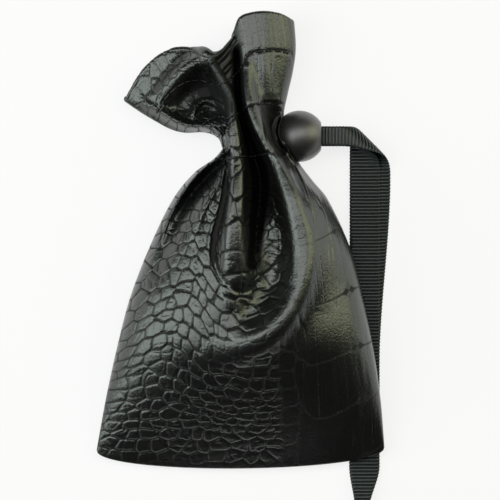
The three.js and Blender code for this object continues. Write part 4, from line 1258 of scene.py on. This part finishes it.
# Bonded polyester thread: two smooth twisted plies with a low shine. Their filaments, 0.03 mm
# thick, are drawn eight times as coarse so that they show.
FILAMENT_DRAWN = 0.25
thread = patterned(
    "bonded_polyester_thread", "ShaderNodeTexNoise", {"Scale": per_metre(FILAMENT_DRAWN), "Detail": 2.0},
    stops=[(0, "#070707"), (1, "#101010")], relief=(0.3, 0.04), finish={"Roughness": 0.5},
)


def thread_sections(points, up):
    """Sections of a two-ply thread along a list of points."""
    run = unit(np.gradient(points, axis=0))
    side = unit(np.cross(up, run))
    over = np.cross(run, side)
    distance = run_along(points)
    turn = np.linspace(0, 2 * math.pi, THREAD_AROUND, endpoint=False)[None, :]
    ply = 1 + PLY_DEPTH * np.cos(2 * turn - 2 * math.pi * distance[:, None] / PLY_PITCH)
    ends = np.sqrt(clamp(np.minimum(distance, distance[-1] - distance) / THREAD_END, THREAD_TIP))
    reach = (THREAD_DIAMETER / 2 * ply * ends[:, None])[..., None]
    ring = side[:, None] * np.cos(turn)[..., None] + over[:, None] * np.sin(turn)[..., None]
    return points[:, None] + ring * reach


def thread_piece(name, node, tubes):
    return stand_for(make_piece(name, *joined(tubes), thread), node)


def stitch_line(node, sheet, side, v, ends, **folds):
    """Lockstitches along one line of a panel, each rising from its holes and pulled down at its ends."""
    u = np.linspace(*ends, LINE_STEPS)[None, :]
    v = v + np.array([[-1.0], [0.0], [1.0]]) * LINE_SPREAD
    points = dressed(sheet, side, u, v, **folds)[0]
    line = np.concatenate([points[1], side * normals_of(points)[1]], axis=1)
    distance = run_along(points[1])
    share = np.linspace(0, 1, STITCH_STEPS)
    lift = STITCH_HEIGHT * np.sin(math.pi * share) ** 0.5 - STITCH_SUNK
    tubes = []
    for start in np.arange(FIRST_STITCH, distance[-1] - STITCH_LENGTH, STITCH_LENGTH + STITCH_GAP):
        place = start + share * STITCH_LENGTH
        stitch = np.stack([np.interp(place, distance, values) for values in line.T], -1)
        tubes.append(thread_sections(stitch[:, :3] + stitch[:, 3:] * lift[:, None], stitch[:, 3:]))
    return thread_piece(f"{node}_stitches", node, tubes)


for name, (line, ends) in STITCH_LINES.items():
    stitch_line(f"{name}_thread_front", front_sheet, 1, line, ends, creases=1.0)
    stitch_line(f"{name}_thread_back", back_sheet, -1, line, ends)


# Seam threads
# The side and base seams were sewn with the panels inside out, so their thread runs just inside
# the edges. The right seam is left open where the ribbon comes out.
SEAM_INSET = LEATHER + 3 * GAP + THREAD_DIAMETER / 2
SEAM_RISE = 1.5 * GAP + THREAD_DIAMETER / 2
SEAM_STEPS = 300
FLARE_INSET = 3.4
FLARE_RISE = 1.1 * GAP
FLARE_OVER = 0.06
BELOW_EXIT = 0.01
exit_foot = NECK - (EXIT_HALF_LENGTH + EXIT_FADE) / body_length * NECK - BELOW_EXIT
exit_top = NECK + (EXIT_HALF_LENGTH + EXIT_FADE) / mouth_length * (1 - NECK)
SIDE_SEAMS = {
    "left_seam_thread": ("side_seam_thread_left", 0, (0.07, 0.97)),
    "right_seam_thread_below_exit": ("side_seam_thread_right_lower", 1, (0.05, exit_foot)),
    "right_seam_thread_above_exit": ("side_seam_thread_right_upper", 1, (exit_top, 0.985)),
}
BASE_SEAM = (0.1, 0.9)


def side_seam(u, v_ends):
    """The course of a thread just inside a side seam, further in where the mouth flares."""
    v = np.linspace(*v_ends, SEAM_STEPS)
    here, along_v, _ = frame_at(front_sheet, np.full(SEAM_STEPS, float(u)), v)
    inward = unit(as_points(along_v[:, 1], -along_v[:, 0], 0))
    flare = fade(v, NECK, FLARE_OVER) * (u < 0.5)
    points = here + inward * (mix(SEAM_INSET, FLARE_INSET, flare) * (1 if u < 0.5 else -1))[:, None]
    points[:, 2] = deep(seam_height(u, v)) + mix(SEAM_RISE, FLARE_RISE, flare)
    return points


for name, (node, u, v_ends) in SIDE_SEAMS.items():
    thread_piece(name, node, [thread_sections(side_seam(u, v_ends), UPRIGHT)])
base_u = np.linspace(*BASE_SEAM, SEAM_STEPS)
base_x, base_y = base_seam(base_u)
base_line = as_points(across(base_x), along(base_y) + SEAM_INSET + GAP,
                      deep(seam_height(base_u, 0)) + SEAM_RISE)
thread_piece("base_seam_thread", "bottom_seam_thread", [thread_sections(base_line, UPRIGHT)])


# Table, lamps and surroundings
# A white sweep with one long softbox beyond the mouth and a tall panel at either side, and nothing
# at the viewer's side, so that the slope towards the base falls dark, as in the picture.
LAMPS = {
    "long_softbox": {"place": (-50, 200, 850), "size": (1050, 480), "power": 4.2, "colour": "#ffffff"},
    "left_panel": {"place": (-620, -30, 400), "size": (520, 760), "power": 4.2, "colour": "#eef6f4"},
    "right_panel": {"place": (600, 230, 340), "size": (480, 680), "power": 2.6, "colour": "#f0f0cc"},
}
SWEEP = 3000
SWEEP_DROP = 0.02
ROOM_LIGHT = 0.03
PAPER_TOOTH_DRAWN = 1.43


def softbox(name, place, size, power, colour):
    lamp = bpy.data.lights.new(name, "AREA")
    lamp.shape = "RECTANGLE"
    lamp.size, lamp.size_y = size[0] * MM, size[1] * MM
    lamp.energy = power
    lamp.color = linear(colour)[:3]
    holder = bpy.data.objects.new(name, lamp)
    holder.location = [c * MM for c in place]
    holder.rotation_euler = mathutils.Vector(place).to_track_quat("Z", "Y").to_euler()
    bpy.context.scene.collection.objects.link(holder)


for name, lamp in LAMPS.items():
    softbox(name, **lamp)


def white_paper():
    """Matt white sweep paper, left plain. What looks at it straight sees it lit a little more evenly.

    Its tooth, 0.2 mm across, is drawn seven times as coarse so that it shows.
    """
    material, tree, place = new_material("matt_white_paper")
    tooth = add_node(tree, "ShaderNodeTexNoise", {"Scale": per_metre(PAPER_TOOTH_DRAWN), "Detail": 3.0},
                     Vector=place)
    bump = add_node(tree, "ShaderNodeBump", {"Strength": 0.05, "Distance": 0.1 * MM},
                    Height=tooth.outputs["Fac"])
    shader = add_node(tree, "ShaderNodeBsdfPrincipled",
                      {"Base Color": linear("#f6f6f5"), "Roughness": 0.9, "Specular IOR Level": 0.2},
                      Normal=bump.outputs["Normal"])
    ray = add_node(tree, "ShaderNodeLightPath")
    seen = ray.outputs["Is Camera Ray"]
    for kind in ("Is Glossy Ray", "Is Transmission Ray"):
        either = add_node(tree, "ShaderNodeMath", {"operation": "MAXIMUM"}, input0=seen,
                          input1=ray.outputs[kind])
        seen = either.outputs["Value"]
    share = add_node(tree, "ShaderNodeMapRange", {"To Min": 0.0, "To Max": 0.8}, Value=seen)
    even = add_node(tree, "ShaderNodeEmission", {"Color": (1, 1, 1, 1), "Strength": 1.0})
    paper = add_node(tree, "ShaderNodeMixShader", Fac=share.outputs["Result"], input1=shader.outputs["BSDF"],
                     input2=even.outputs["Emission"])
    add_node(tree, "ShaderNodeOutputMaterial", Surface=paper.outputs["Shader"])
    return material


sweep_points = [[-SWEEP, -SWEEP, 0], [SWEEP, -SWEEP, 0], [SWEEP, SWEEP, 0], [-SWEEP, SWEEP, 0]]
sweep = make_piece("paper_sweep", sweep_points, [[0, 1, 2, 3]], white_paper())
sweep.location.z = -SWEEP_DROP * MM

world = bpy.data.worlds.new("studio")
bpy.context.scene.world = world
world.use_nodes = True
room = world.node_tree
room.nodes.clear()
seen = add_node(room, "ShaderNodeLightPath").outputs["Is Camera Ray"]
strength = add_node(room, "ShaderNodeMapRange", {"To Min": ROOM_LIGHT, "To Max": 1.0}, Value=seen)
air = add_node(room, "ShaderNodeBackground", {"Color": (1, 1, 1, 1)}, Strength=strength.outputs["Result"])
add_node(room, "ShaderNodeOutputWorld", Surface=air.outputs["Background"])

bpy.context.scene.view_settings.view_transform = "Standard"
